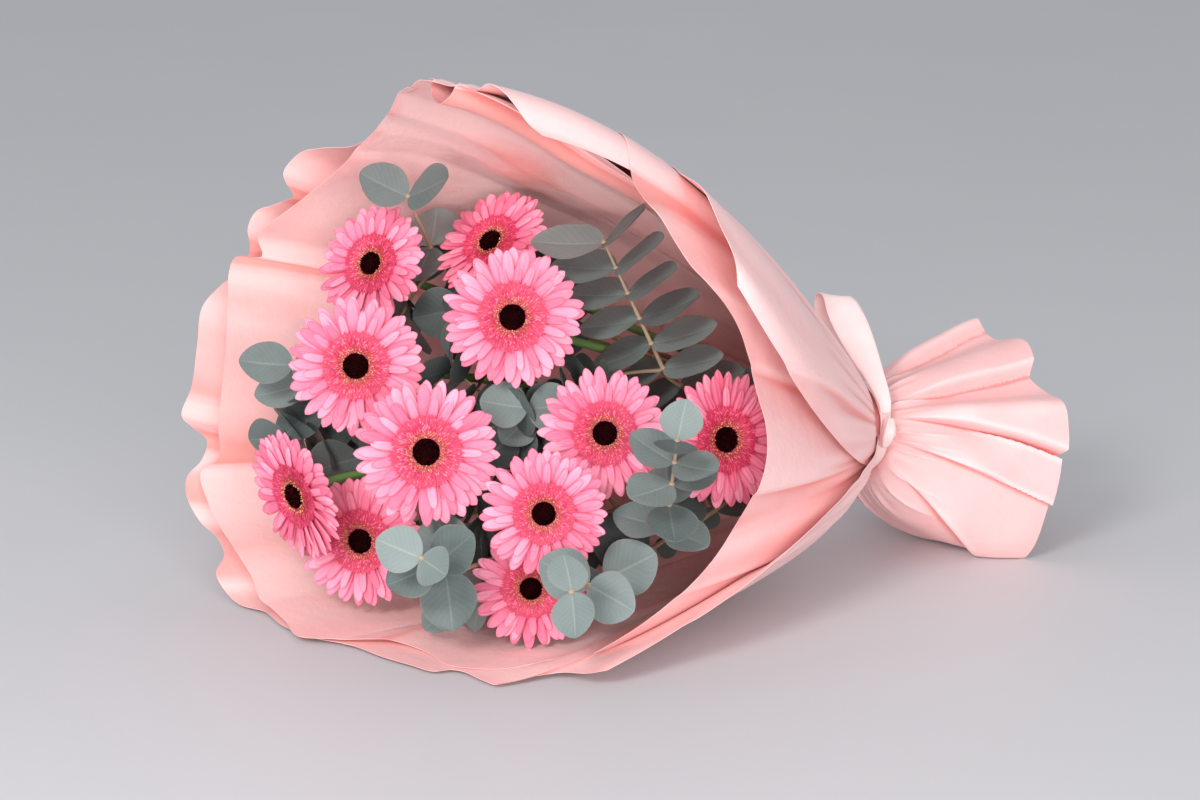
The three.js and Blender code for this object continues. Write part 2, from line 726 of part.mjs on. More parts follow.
function buildFlower(flower, index) {
  const name = `gerbera_${String(index + 1).padStart(2, "0")}`;
  const put = headFrame(flower.at, flower.face);
  const R = flower.r;
  const rays = petals(R, 17 * index + 3, put);
  addNode(`${name}_petals`, rays.points, rays.faces, COLOUR.petal);

  const hole = 0.25 * R;
  const edge = 0.49 * R;
  const fringe = turned(
    [
      [hole, CUP * hole + 0.35],
      [edge, CUP * edge + 0.35],
      [edge, CUP * edge + 1.2],
      [hole, CUP * hole + 2.6],
    ],
    FRINGE_SIDES,
    put,
    false,
  );
  addNode(`${name}_fringe`, fringe.points, fringe.faces, COLOUR.fringe);

  const eyeRadius = hole / 1.06 - 0.25;
  const sit = CUP * eyeRadius + 0.35;
  const eye = turned(
    [[eyeRadius, sit], [eyeRadius, sit + 2.4], [0.6 * eyeRadius, sit + 3.6]],
    EYE_SIDES,
    put,
    true,
  );
  addNode(`${name}_eye`, eye.points, eye.faces, COLOUR.eye);

  const n = vec(flower.face).normalize();
  const back = put(0, 0, -HEAD_DEPTH - 0.35);
  const neck = back.clone().addScaledVector(n, -20);
  const path = stemPath(flower.slot, neck, n);
  const radii = path.map(() => STEM_RADIUS);
  for (const [behind, r] of [[14, 3.4], [8, 8], [2.5, 8.8], [0, 6.4]]) {
    path.push(back.clone().addScaledVector(n, -behind));
    radii.push(r);
  }
  const stem = tube(path, radii, 5);
  addNode(`${name}_stem`, stem.points, stem.faces, COLOUR.stem);
}

// ---- eucalyptus ---------------------------------------------------------------------
const LEAF_OUTLINE = [
  [0, 0], [0.14, 0.25], [0.45, 0.47], [0.84, 0.36], [1, 0],
  [0.84, -0.36], [0.45, -0.47], [0.14, -0.25],
];

function leaf(root, along, up, length) {
  const wide = new THREE.Vector3().crossVectors(up, along).normalize();
  const points = [];
  for (const side of [0, -LEAF_THICK]) {
    for (const [u, v] of LEAF_OUTLINE) {
      const lift = 0.1 * Math.abs(v) + 0.1 * u * u;
      points.push(
        root.clone()
          .addScaledVector(along, u * length)
          .addScaledVector(wide, v * length)
          .addScaledVector(up, lift * length + side),
      );
    }
    points.push(
      root.clone().addScaledVector(along, 0.5 * length).addScaledVector(up, 0.02 * length + side),
    );
  }
  const faces = [];
  for (let i = 0; i < 8; i += 1) {
    const n = (i + 1) % 8;
    faces.push([8, n, i], [17, 9 + i, 9 + n]);
    faces.push([i, n, 9 + n], [i, 9 + n, 9 + i]);
  }
  return { points, faces };
}

function buildSprig(sprig, index) {
  const foot = vec(sprig.foot);
  const tip = vec(sprig.tip);
  const way = tip.clone().sub(foot);
  const length = way.length();
  way.normalize();
  const path = stemPath(sprig.slot, foot, way);
  const radii = path.map((p, k) => mix(TWIG_RADIUS + 0.3, TWIG_RADIUS - 0.4, k / 6));
  path.push(tip.clone());
  radii.push(0.9);
  const parts = [tube(path, radii, 5)];
  const x = new THREE.Vector3(1, 0, 0).addScaledVector(way, -way.x).normalize();
  const y = way.clone().cross(x);
  for (let pair = 0; pair < sprig.pairs; pair += 1) {
    const t = pair / Math.max(1, sprig.pairs - 1);
    const root = tip.clone().addScaledVector(way, -2 - t * (length - 4));
    const size = mix(sprig.leaf[0], sprig.leaf[1], t ** 0.7);
    for (const half of [0, 1]) {
      const seed = noise(index * 31 + pair * 7 + half * 3);
      const turn = rad(sprig.roll + sprig.twist * pair + 180 * half + 16 * (seed - 0.5));
      const open = rad(mix(sprig.open - 18, sprig.open + 10, t) + 8 * (seed - 0.5));
      const outward = x.clone().multiplyScalar(Math.cos(turn)).addScaledVector(y, Math.sin(turn));
      const along = way.clone().multiplyScalar(Math.cos(open));
      along.addScaledVector(outward, Math.sin(open));
      const up = way.clone().multiplyScalar(Math.sin(open));
      up.addScaledVector(outward, -Math.cos(open));
      parts.push(leaf(root, along, up, size * (0.92 + 0.16 * seed)));
    }
  }
  const { points, faces } = fuse(parts);
  addNode(`eucalyptus_${String(index + 1).padStart(2, "0")}`, points, faces, COLOUR.leaf);
}

// ---- ribbon and cord ----------------------------------------------------------------
function buildTies() {
  const cord = ringBody(CORD.inner, CORD.outer, CORD.from, CORD.to, CORD.sides);
  addNode("binding_cord", cord.points, cord.faces, COLOUR.cord);

  const band = ringBody(BAND.inner, BAND.outer, BAND.from, BAND.to, BAND.sides);
  const reach = (BAND.from + BAND.to) / 2;
  const middle = place(rad(80), reach, BAND.outer + 2.5);
  const out = middle.clone().sub(place(0, reach, 0)).normalize();
  const lower = middle.clone().addScaledVector(TOP_WAY, -9);
  const upper = middle.clone().addScaledVector(TOP_WAY, 9);
  const knotPath = [lower, middle.clone().addScaledVector(out, 1.5), upper];
  const knot = tube(knotPath, [3, 6.5, 3], 8);
  const fused = fuse([band, knot]);
  addNode("ribbon_band", fused.points, fused.faces, COLOUR.ribbon);
}

// A strip of ribbon along a path: [point, half width] pairs, faced by a normal.
function strip(stations, widthWay) {
  const thick = 1;
  const points = [];
  const count = stations.length;
  stations.forEach(([p, half], k) => {
    const before = stations[Math.max(0, k - 1)][0];
    const after = stations[Math.min(count - 1, k + 1)][0];
    const t = after.clone().sub(before).normalize();
    const w = widthWay.clone().addScaledVector(t, -widthWay.dot(t)).normalize();
    const n = t.clone().cross(w);
    for (const [a, b] of [[1, 1], [-1, 1], [-1, -1], [1, -1]]) {
      points.push(p.clone().addScaledVector(w, a * half).addScaledVector(n, (b * thick) / 2));
    }
  });
  const faces = [];
  for (let k = 0; k < count - 1; k += 1) {
    for (let i = 0; i < 4; i += 1) {
      const a = 4 * k + i;
      const b = 4 * k + ((i + 1) % 4);
      faces.push([a, b, b + 4], [a, b + 4, a + 4]);
    }
  }
  const e = 4 * (count - 1);
  faces.push([0, 2, 1], [0, 3, 2], [e, e + 1, e + 2], [e, e + 2, e + 3]);
  return { points, faces };
}

// The bow's one standing loop, as [angle, reach, radius, half width]: up over the paper
// from the knot, round at the top and back down behind.
const BOW = [
  [58, 14, 36, 3.6], [44, 18, 40, 5], [22, 26, 48, 7.5], [7, 33, 60, 10.5],
  [359, 41, 74, 12.3], [354, 48, 87, 12.4], [350, 46, 93, 12], [345, 38, 89, 11.4],
  [342, 30, 76, 10.6], [344, 22, 60, 8.5], [350, 15, 44, 6.5], [354, 12, 35, 5],
];

function buildBow() {
  const stations = BOW.map(([deg, reach, r, half]) => [place(rad(deg), reach, r), half]);
  const { points, faces } = strip(stations, new THREE.Vector3(1, 0, 0.1));
  addNode("ribbon_bow", points, faces, COLOUR.ribbon);
}

// ---- assembly -----------------------------------------------------------------------
buildSheets();
buildSkirt();
buildTies();
buildBow();
FLOWERS.forEach(buildFlower);
SPRIGS.forEach(buildSprig);

// The origin goes to the middle of the footprint, with the lowest point at zero.
const bounds = new THREE.Box3().setFromObject(group);
const shift = new THREE.Vector3(
  -(bounds.min.x + bounds.max.x) / 2,
  -(bounds.min.y + bounds.max.y) / 2,
  -bounds.min.z,
);
for (const mesh of group.children) {
  mesh.geometry.translate(shift.x, shift.y, shift.z);
}

export default group;
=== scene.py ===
"""A lying bouquet of gerberas and eucalyptus in wrapping paper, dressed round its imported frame.

Lengths in this script are millimetres, in the frame that the part was designed in: +X runs
toward the skirt, -Y is the side the flowers face, +Z is up from the table. SHIFT takes them
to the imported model's frame, and MM to Blender's metres.
"""
import math

import bpy
import numpy as np
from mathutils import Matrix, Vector
from mathutils.bvhtree import BVHTree


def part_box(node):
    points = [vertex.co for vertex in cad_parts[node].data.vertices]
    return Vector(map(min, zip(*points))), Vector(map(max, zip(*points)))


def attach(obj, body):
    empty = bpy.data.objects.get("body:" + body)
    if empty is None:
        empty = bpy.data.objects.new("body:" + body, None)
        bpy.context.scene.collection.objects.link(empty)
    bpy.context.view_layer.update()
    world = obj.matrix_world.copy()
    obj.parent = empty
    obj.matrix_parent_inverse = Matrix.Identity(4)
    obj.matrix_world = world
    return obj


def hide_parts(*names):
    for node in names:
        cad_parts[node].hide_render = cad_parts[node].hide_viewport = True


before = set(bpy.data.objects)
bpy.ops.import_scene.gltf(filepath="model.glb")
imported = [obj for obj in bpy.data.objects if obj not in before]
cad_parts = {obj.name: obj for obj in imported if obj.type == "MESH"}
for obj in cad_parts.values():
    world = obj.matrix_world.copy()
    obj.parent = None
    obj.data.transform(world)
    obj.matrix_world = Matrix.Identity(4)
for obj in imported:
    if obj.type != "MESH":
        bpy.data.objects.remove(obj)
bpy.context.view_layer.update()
MM = 0.001


def unit(v):
    v = np.asarray(v, float)
    return v / np.linalg.norm(v, axis=-1, keepdims=True)


# ---- driving dimensions, as in the part -------------------------------------------------
TIE = np.array([198.0, 87.0, 94.0])  # middle of the ribbon, above the table
AXIS = unit([-0.85, -0.465, 0.245])  # tie toward the flowers
TOP_WAY = unit(np.array([0, 0, 1.0]) - AXIS[2] * AXIS)
SIDE_WAY = unit(np.cross(TOP_WAY, AXIS))
CORD_MIDDLE = 12  # reach of the twine's middle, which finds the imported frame
cord_low, cord_high = (np.array(corner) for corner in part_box("binding_cord"))
SHIFT = (cord_low + cord_high) / 2 / MM - (TIE + CORD_MIDDLE * AXIS)

NECK = 18  # reach at which the sheets leave the ribbon
COLLAR = 11.4  # reach of the sheets' lower ends
FLARE = 0.57  # how quickly a sheet opens underneath
FULL_REACH = 400
# Of each sheet: radius at the ribbon, angles at which it begins and ends there in degrees, how
# evenly it turns toward its rim, and the lowest that it may lie.
WAIST = {"inner": 22.9, "outer": 24.5, "side": 26.1, "top": 27.7, "last": 29.3}
COLLAR_TURN = {"inner": (26, -213), "outer": (27, -275), "side": (-8, 140), "top": (-40, 112)}
TURN_POWER = {"inner": 0.9, "outer": 0.7, "side": 0.9, "top": 1.35}
LIFT = {"inner": 3.4, "outer": 0.4, "side": 1.9, "top": 1.9}
SHEET_GAP = 1.0  # between the middles of sheets that lie on each other
PAPER = 0.35  # thickness

STEM_PITCH = 6.25  # stems packed side by side at the tie
STEM_RADIUS = 3
STEM_END = -92  # reach of the cut ends
STEM_STRAIGHT = 24  # reach up to which stems run straight
CUP = 0.1  # slope of a flower's face
HEAD_DEPTH = 4.5  # from a flower's face to its back

# Rims of the sheets: [angle round the axis in degrees (0 on top, 90 toward the viewer),
# reach from the tie, radius].
RIM_INNER = [
    [26, 392, 192], [17, 408, 186], [11, 412, 182], [13, 418, 176], [12, 421, 168],
    [5, 417, 166], [0, 411, 171], [-3, 406, 176], [-16, 400, 166], [-33, 392, 168],
    [-53, 392, 184], [-66, 400, 198], [-76, 413, 214], [-79, 412, 222], [-82, 406, 220],
    [-83, 428, 218], [-86, 430, 216], [-91, 429, 208], [-99, 427, 202], [-107, 427, 202],
    [-116, 427, 207], [-122, 424, 216], [-124, 432, 230], [-130, 428, 230], [-136, 424, 224],
    [-141, 420, 218], [-149, 413, 214], [-155, 414, 212], [-159, 411, 208], [-165, 409, 203],
    [-174, 412, 197], [-179, 394, 190], [-184, 373, 186], [-189, 357, 185], [-196, 349, 188],
    [-201, 348, 194], [-205, 340, 196], [-209, 321, 197], [-211, 298, 192], [-213, 274, 186],
]
RIM_OUTER = [
    [27, 372, 195], [27, 386, 202], [26, 398, 211], [24, 405, 215], [20, 409, 212],
    [18, 410, 204], [14, 412, 196], [8, 416, 192], [2, 418, 190], [-11, 410, 181],
    [-36, 390, 181], [-50, 388, 198], [-58, 392, 221], [-63, 397, 236], [-67, 402, 236],
    [-68, 401, 226], [-69, 397, 217], [-73, 403, 229], [-76, 410, 240], [-79, 413, 238],
    [-82, 409, 234], [-86, 410, 237], [-90, 424, 238], [-94, 434, 239], [-100, 436, 234],
    [-108, 438, 233], [-113, 442, 240], [-115, 438, 233], [-118, 428, 226], [-121, 428, 236],
    [-124, 438, 240], [-127, 438, 243], [-131, 427, 248], [-135, 420, 238], [-140, 420, 231],
    [-144, 429, 232], [-148, 424, 233], [-153, 420, 226], [-157, 410, 219], [-165, 410, 209],
    [-174, 402, 201], [-182, 384, 197], [-190, 376, 198], [-197, 366, 200], [-202, 358, 203],
    [-203, 348, 200], [-205, 342, 202], [-210, 338, 210], [-213, 334, 215], [-213, 325, 212],
    [-214, 307, 207], [-217, 292, 205], [-223, 284, 213], [-225, 276, 214],
]
RIM_SIDE = [
    [-8, 280, 177], [6, 291, 180], [18, 301, 188], [25, 303, 190], [29, 297, 181],
    [33, 290, 176], [37, 283, 175], [43, 275, 173], [48, 265, 171], [51, 250, 166],
    [54, 228, 153], [58, 211, 141], [64, 199, 131], [74, 188, 127], [83, 180, 129],
    [94, 178, 134], [103, 182, 139], [111, 188, 143], [118, 201, 156], [124, 213, 165],
    [130, 236, 181], [136, 256, 191], [140, 272, 198],
]
RIM_TOP = [
    [-4, 238, 168], [8, 245, 170], [17, 249, 175], [25, 253, 183], [34, 257, 193],
    [42, 252, 191], [49, 243, 187], [53, 236, 176],
]
# The skirt's hem, in the same way; its reach is negative, on the other side of the tie.
HEM = [
    [-150, -108, 76], [-122, -104, 88], [-96, -110, 82], [-70, -104, 95], [-50, -109, 85],
    [-30, -106, 97], [-17, -111, 84], [3, -114, 81], [24, -109, 73], [44, -112, 74],
    [56, -109, 86], [68, -112, 82], [88, -112, 84], [111, -112, 89], [133, -111, 96],
    [150, -106, 92], [170, -110, 84], [190, -106, 84],
]
SKIRT_TOP = 10.7  # reach of its upper edge, under the ribbon
SKIRT_START = 4.5  # reach at which it starts to widen

# Blooms: middle, way it faces, radius, slot of its stem in the packing at the tie.
FLOWERS = [
    ((-160, 19, 234), (-0.49, -0.75, 0.44), 43, (-2, 1)),
    ((-76, 8, 252), (-0.45, -0.55, 0.7), 42.5, (-2, 2)),
    ((-60, -62, 216), (0.01, -0.94, 0.34), 47, (-1, 2)),
    ((-166, -61, 182), (-0.06, -0.97, 0.24), 46.5, (-1, 0)),
    ((-116, -117, 138), (-0.01, -0.96, 0.26), 48, (0, -1)),
    ((-208, -69, 93), (-0.72, -0.68, -0.14), 46, (-1, -1)),
    ((-165, -66, 59), (-0.25, -0.95, 0.19), 44.5, (0, -2)),
    ((2, -104, 147), (0.1, -0.94, 0.31), 43.5, (0, 1)),
    ((-38, -138, 102), (-0.02, -0.98, 0.21), 42, (1, 0)),
    ((83, -78, 135), (0.47, -0.84, 0.25), 46, (1, 1)),
    ((-47, -124, 45), (-0.08, -0.98, 0.16), 40, (2, -2)),
]
# Sprigs: foot and tip of the leafy part, roll of the tip pair and turn to the next, number
# of pairs, leaf length at tip and foot, opening from the twig, slot at the tie.
SPRIGS = [
    ((-120, 42, 240), (-134, 8, 286), 168, 90, 2, (40, 35), 84, (-1, 1.12)),
    ((-196, -2, 140), (-213, -28, 175), 175, 20, 3, (36, 38), 84, (-1.88, 0)),
    ((43, -21, 168), (1, -42, 265), 164, 2, 6, (48, 46), 92, (0, 2)),
    ((-46, -40, 136), (-50, -72, 156), 170, 60, 3, (32, 28), 94, (0.12, 0)),
    ((43, -128, 89), (49, -167, 162), 86, 62, 5, (31, 35), 88, (1.88, 0)),
    ((-103, -137, 61), (-117, -182, 86), 150, 62, 3, (30, 39), 88, (0.88, -1)),
    ((-83, -93, 31), (-103, -114, 29), 236, 60, 2, (23, 28), 64, (1.12, -2)),
    ((3, -128, 53), (-20, -195, 67), 100, 55, 3, (30, 40), 94, (2, -1.12)),
]

# The ribbon's standing loop: [angle, reach, radius, half width].
BOW = [
    [58, 14, 36, 3.6], [44, 17, 40, 5], [22, 24, 48, 7.5], [7, 31, 60, 10.5],
    [359, 39, 74, 12.3], [354, 46, 87, 12.6], [350, 49, 92, 12.2], [345, 46, 88, 11.8],
    [341, 40, 76, 11], [342, 31, 60, 9], [349, 21, 44, 6.5], [354, 13, 35, 5],
]
BAND_RADIUS = 31.0
BAND_FROM, BAND_TO = 5, 16.8  # reaches of the band's two edges
CORD_INNER, CORD_OUTER, CORD_FROM, CORD_TO = 16.35, 22, 8, 16  # radii and reaches of the twine


# ---- small helpers ----------------------------------------------------------------------
SPLINE_RADIUS = 200  # radius at which a rim's angles count as lengths
SPLINE_STEPS, CURVE_STEPS = 24, 16  # between two given points, of a rim and of a ribbon


def noise(n):
    """A number from 0 to 1 that looks random and is the same on every run."""
    s = np.sin(np.asarray(n, float) * 12.9898) * 43758.5453
    return s - np.floor(s)


def draws(seed, count):
    return [float(noise(seed + k)) for k in range(count)]


def smoothstep(t):
    t = np.clip(t, 0, 1)
    return t * t * (3 - 2 * t)


def mix(a, b, t):
    return a + (b - a) * t


def place(angle, reach, r):
    """A point given round the bouquet's axis, angle in radians."""
    angle, reach, r = (np.asarray(v, float)[..., None] for v in (angle, reach, r))
    return TIE + AXIS * reach + TOP_WAY * r * np.cos(angle) + SIDE_WAY * r * np.sin(angle)


def measure(points):
    """Angle in radians, reach and radius of points round the bouquet's axis."""
    v = points - TIE
    up, side = v @ TOP_WAY, v @ SIDE_WAY
    return np.arctan2(side, up), v @ AXIS, np.hypot(up, side)


def travelled(curve):
    """The length gone along a curve at each of its points."""
    steps = np.linalg.norm(np.diff(curve[:, :3], axis=0), axis=1)
    return np.concatenate([[0], np.cumsum(steps)])


def even_steps(curve, count):
    """A curve, as the given number of points an even length apart."""
    gone = travelled(curve)
    even = np.linspace(0, gone[-1], count)
    return np.stack([np.interp(even, gone, column) for column in curve.T], axis=1)


def resampled(rows, count, closed=False):
    """A centripetal spline through [angle, reach, radius] rows, as count + 1 even steps."""
    rows = np.asarray(rows, float)
    scale = np.array([math.radians(1) * SPLINE_RADIUS, 1, 1])
    p = rows * scale
    if closed:
        p = np.vstack([p[-3:-1] - [360 * scale[0], 0, 0], p, p[1:3] + [360 * scale[0], 0, 0]])
    else:
        p = np.vstack([2 * p[0] - p[1], p, 2 * p[-1] - p[-2]])
    knots = np.concatenate([[0], np.cumsum(np.linalg.norm(np.diff(p, axis=0), axis=1) ** 0.5)])
    found = []
    start, stop = (2, len(p) - 3) if closed else (1, len(p) - 2)
    for k in range(start, stop):
        t0, t1, t2, t3 = knots[k - 1:k + 3]
        t = np.linspace(t1, t2, SPLINE_STEPS, endpoint=False)[:, None]
        a1 = (t1 - t) / (t1 - t0) * p[k - 1] + (t - t0) / (t1 - t0) * p[k]
        a2 = (t2 - t) / (t2 - t1) * p[k] + (t - t1) / (t2 - t1) * p[k + 1]
        a3 = (t3 - t) / (t3 - t2) * p[k + 1] + (t - t2) / (t3 - t2) * p[k + 2]
        b1 = (t2 - t) / (t2 - t0) * a1 + (t - t0) / (t2 - t0) * a2
        b2 = (t3 - t) / (t3 - t1) * a2 + (t - t1) / (t3 - t1) * a3
        found.append((t2 - t) / (t2 - t1) * b1 + (t - t1) / (t2 - t1) * b2)
    found.append(p[stop][None])
    return even_steps(np.vstack(found), count + 1) / scale


def spline(points, count):
    """A smooth curve through the given points, in even steps."""
    rows = np.asarray(points, float)
    p = np.vstack([2 * rows[0] - rows[1], rows, 2 * rows[-1] - rows[-2]])
    found = []
    for k in range(1, len(p) - 2):
        t = np.linspace(0, 1, CURVE_STEPS, endpoint=False)[:, None]
        a, b, c, d = p[k - 1:k + 3]
        found.append(0.5 * (2 * b + (c - a) * t + (2 * a - 5 * b + 4 * c - d) * t ** 2
                            + (3 * b - a - 3 * c + d) * t ** 3))
    found.append(p[-2][None])
    return even_steps(np.vstack(found), count)


def smoothed(rows, passes):
    """The rows, each one evened out with its neighbours while the first and last stay."""
    rows = rows.copy()
    for _ in range(passes):
        rows[1:-1] = (rows[:-2] + 2 * rows[1:-1] + rows[2:]) / 4
    return rows


# ---- mesh helpers -----------------------------------------------------------------------
def grid_faces(rows, columns, wrap=False, start=0):
    """Quads of a grid of points; with wrap its last column joins its first."""
    j, i = np.meshgrid(np.arange(rows - 1), np.arange(columns if wrap else columns - 1),
                       indexing="ij")
    n = (i + 1) % columns
    quads = np.stack([j * columns + i, j * columns + n,
                      (j + 1) * columns + n, (j + 1) * columns + i], axis=-1)
    return (quads.reshape(-1, 4) + start).tolist()


def enclosed(points, faces):
    """The signed volume inside the faces, negative where they face inward."""
    middle = points.mean(axis=0)
    total = 0.0
    for size in {len(face) for face in faces}:
        corner = points[np.array([face for face in faces if len(face) == size])] - middle
        for k in range(1, size - 1):
            total += np.sum(corner[:, 0] * np.cross(corner[:, k], corner[:, k + 1]))
    return total / 6


def ring_faces(rings, sides):
    """Faces of a closed body made of rings of points, with both ends capped."""
    last = (rings - 1) * sides
    return grid_faces(rings, sides, True) + [list(range(sides))[::-1],
                                             list(range(last, last + sides))]


def pointed_faces(rings, sides):
    """Faces of a closed body made of rings of points, then one point for each end."""
    last, end = (rings - 1) * sides, rings * sides
    faces = grid_faces(rings, sides, True)
    for i in range(sides):
        n = (i + 1) % sides
        faces += [[end, n, i], [end + 1, last + i, last + n]]
    return faces


SHARP_ANGLE = math.radians(66)  # edges that bend more than this are shaded as crisp ones


class Builder:
    """Gathers many small closed bodies into one mesh, with their shading values."""

    def __init__(self):
        self.points, self.faces, self.marks, self.values = [], [], [], {}
        self.count = 0

    def add(self, points, faces, mark=0, **values):
        """A body with its material's number, or one a face, and values that materials read."""
        points = np.asarray(points, float).reshape(-1, 3)
        if enclosed(points, faces) < 0:
            faces = [face[::-1] for face in faces]
        self.faces.extend([[v + self.count for v in face] for face in faces])
        self.marks.extend(np.broadcast_to(mark, (len(faces),)).tolist())
        self.points.append(points)
        for key, value in values.items():
            full = np.broadcast_to(np.asarray(value, float).reshape(-1), (len(points),))
            self.values.setdefault(key, []).append(full)
        self.count += len(points)

    def rings(self, points, **values):
        """A body made of rings of points; a value may differ by ring, by place or by both."""
        shape = points.shape[:2]
        full = {key: np.broadcast_to(value, shape) for key, value in values.items()}
        self.add(points, ring_faces(*shape), **full)

    def tube(self, path, radii, sides, mark=0, squash=1.0, **values):
        """A round body along a path, closed by a point at each end."""
        path = np.asarray(path, float)
        radii = np.broadcast_to(np.asarray(radii, float), (len(path),))
        rings = sweep(path, radii, sides, squash)
        points = np.vstack([rings.reshape(-1, 3), path[0], path[-1]])
        self.add(points, pointed_faces(len(path), sides), mark, **values)

    def piece(self, name, materials, slot, *nodes):
        """The gathered mesh as a piece of the scene, in place of its CAD nodes."""
        mesh = bpy.data.meshes.new(name)
        points = (np.vstack(self.points) + SHIFT) * MM
        mesh.from_pydata(points.tolist(), [], self.faces)
        for material in materials:
            mesh.materials.append(material)
        mesh.polygons.foreach_set("material_index", self.marks)
        mesh.polygons.foreach_set("use_smooth", [True] * len(self.faces))
        for key, parts in self.values.items():
            layer = mesh.attributes.new(key, "FLOAT", "POINT")
            layer.data.foreach_set("value", np.concatenate(parts).astype(np.float32))
        mesh.update()
        mesh.set_sharp_from_angle(angle=SHARP_ANGLE)
        obj = bpy.data.objects.new(name, mesh)
        bpy.context.scene.collection.objects.link(obj)
        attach(obj, "root")
        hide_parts(*nodes)
        return obj


def sweep(path, radii, sides, squash=1.0):
    """Rings of points round a path, turned as little as possible along it."""
    tangent = unit(np.gradient(path, axis=0))
    across = np.cross(tangent[0], [0, 0, 1.0])
    if np.linalg.norm(across) < 0.1:
        across = np.cross(tangent[0], TOP_WAY)
    rings = []
    turn = np.arange(sides) / sides * 2 * math.pi
    for k, t in enumerate(tangent):
        across = unit(across - (across @ t) * t)
        other = np.cross(t, across)
        ring = (np.cos(turn)[:, None] * across + squash * np.sin(turn)[:, None] * other)
        rings.append(path[k] + radii[k] * ring)
    return np.array(rings)


# ---- materials --------------------------------------------------------------------------
def rgb(r, g, b):
    """A display colour as the linear one that shaders take."""
    return tuple(((c + 0.055) / 1.055) ** 2.4 if c > 0.04045 else c / 12.92
                 for c in (r, g, b)) + (1.0,)


class Shader:
    """A Principled material and short ways to add nodes to it."""

    def __init__(self, name, **sockets):
        self.material = bpy.data.materials.new(name)
        self.material.use_nodes = True
        self.tree = self.material.node_tree
        self.main = self.tree.nodes["Principled BSDF"]
        for key, value in sockets.items():
            self.main.inputs[key.replace("_", " ")].default_value = value

    def node(self, kind, **settings):
        made = self.tree.nodes.new(kind)
        for key, value in settings.items():
            if key in made.inputs:
                made.inputs[key].default_value = value
            else:
                setattr(made, key, value)
        return made

    def link(self, out, into):
        self.tree.links.new(out, into)

    def values(self, *names):
        """What the mesh says at each point, by the names that Builder was given."""
        return [self.node("ShaderNodeAttribute", attribute_name=name).outputs["Fac"]
                for name in names]

    def noise(self, scale, detail=3.0, rough=0.55, stretch=None):
        made = self.node("ShaderNodeTexNoise", Scale=scale, Detail=detail, Roughness=rough)
        where = self.node("ShaderNodeTexCoord").outputs["Object"]
        if stretch:
            mapping = self.node("ShaderNodeMapping")
            mapping.inputs["Scale"].default_value = stretch
            self.link(where, mapping.inputs["Vector"])
            where = mapping.outputs["Vector"]
        self.link(where, made.inputs["Vector"])
        return made.outputs["Fac"]

    def math(self, kind, *values):
        made = self.node("ShaderNodeMath", operation=kind)
        for socket, value in zip(made.inputs, values):
            if isinstance(value, (int, float)):
                socket.default_value = value
            else:
                self.link(value, socket)
        return made.outputs[0]

    def ramp(self, fac, *stops):
        """Display colours along a factor, from rows of place, red, green and blue."""
        made = self.node("ShaderNodeValToRGB")
        made.color_ramp.interpolation = "EASE"
        elements = made.color_ramp.elements
        while len(elements) < len(stops):
            elements.new(0.5)
        for element, (position, *colour) in zip(elements, stops):
            element.position = position
            element.color = rgb(*colour)
        self.link(fac, made.inputs["Fac"])
        return made.outputs["Color"]

    def rise(self, fac, low, high):
        """0 up to the low place and 1 from the high one."""
        return self.ramp(fac, (low, 0, 0, 0), (high, 1, 1, 1))

    def blend(self, fac, a, b):
        """From a to b, each one an output or a display colour."""
        made = self.node("ShaderNodeMix", data_type="RGBA")
        for socket, value in ((made.inputs[0], fac), (made.inputs[6], a), (made.inputs[7], b)):
            if isinstance(value, tuple):
                socket.default_value = rgb(*value)
            else:
                self.link(value, socket)
        return made.outputs[2]

    def tint(self, under, fac, amount, colour):
        """A colour laid over another one by a factor times an amount."""
        return self.blend(self.math("MULTIPLY", fac, amount), under, colour)

    def bump(self, height, strength, distance):
        made = self.node("ShaderNodeBump", Strength=strength, Distance=distance)
        self.link(height, made.inputs["Height"])
        self.link(made.outputs["Normal"], self.main.inputs["Normal"])

    def finished(self, colour):
        """The material, with its base colour connected."""
        self.link(colour, self.main.inputs["Base Color"])
        return self.material


# ---- stems ------------------------------------------------------------------------------
STEM_SPREAD = 0.006  # a millimetre of reach
ARRIVAL = 110  # longest straight run toward a bloom or sprig
STRAIGHT_STEPS, BEND_STEPS = 9, 26


def slot_point(slot, reach):
    """A place in the hexagonal packing at the tie, which spreads toward the cut ends."""
    q, r = slot
    spread = 1 + max(0, -reach) * STEM_SPREAD
    side = STEM_PITCH * (q + r / 2) * spread
    up = STEM_PITCH * r * 0.866 * spread
    return TIE + AXIS * reach + SIDE_WAY * side + TOP_WAY * up


def stem_path(slot, goal, arrive):
    """From the cut end through the tie, then in one bend to where it arrives."""
    start = slot_point(slot, STEM_STRAIGHT)
    span = np.linalg.norm(goal - start)
    leave = AXIS * span * 0.35 + (goal - start) * 0.65
    reach_in = arrive * min(span * 0.5, ARRIVAL)
    straight = [slot_point(slot, reach)
                for reach in np.linspace(STEM_END, STEM_STRAIGHT, STRAIGHT_STEPS)[:-1]]
    t = np.linspace(0, 1, BEND_STEPS)[:, None]
    bend = (start * (2 * t ** 3 - 3 * t ** 2 + 1) + leave * (t ** 3 - 2 * t ** 2 + t)
            + goal * (-2 * t ** 3 + 3 * t ** 2) + reach_in * (t ** 3 - t ** 2))
    return np.vstack([straight, bend])


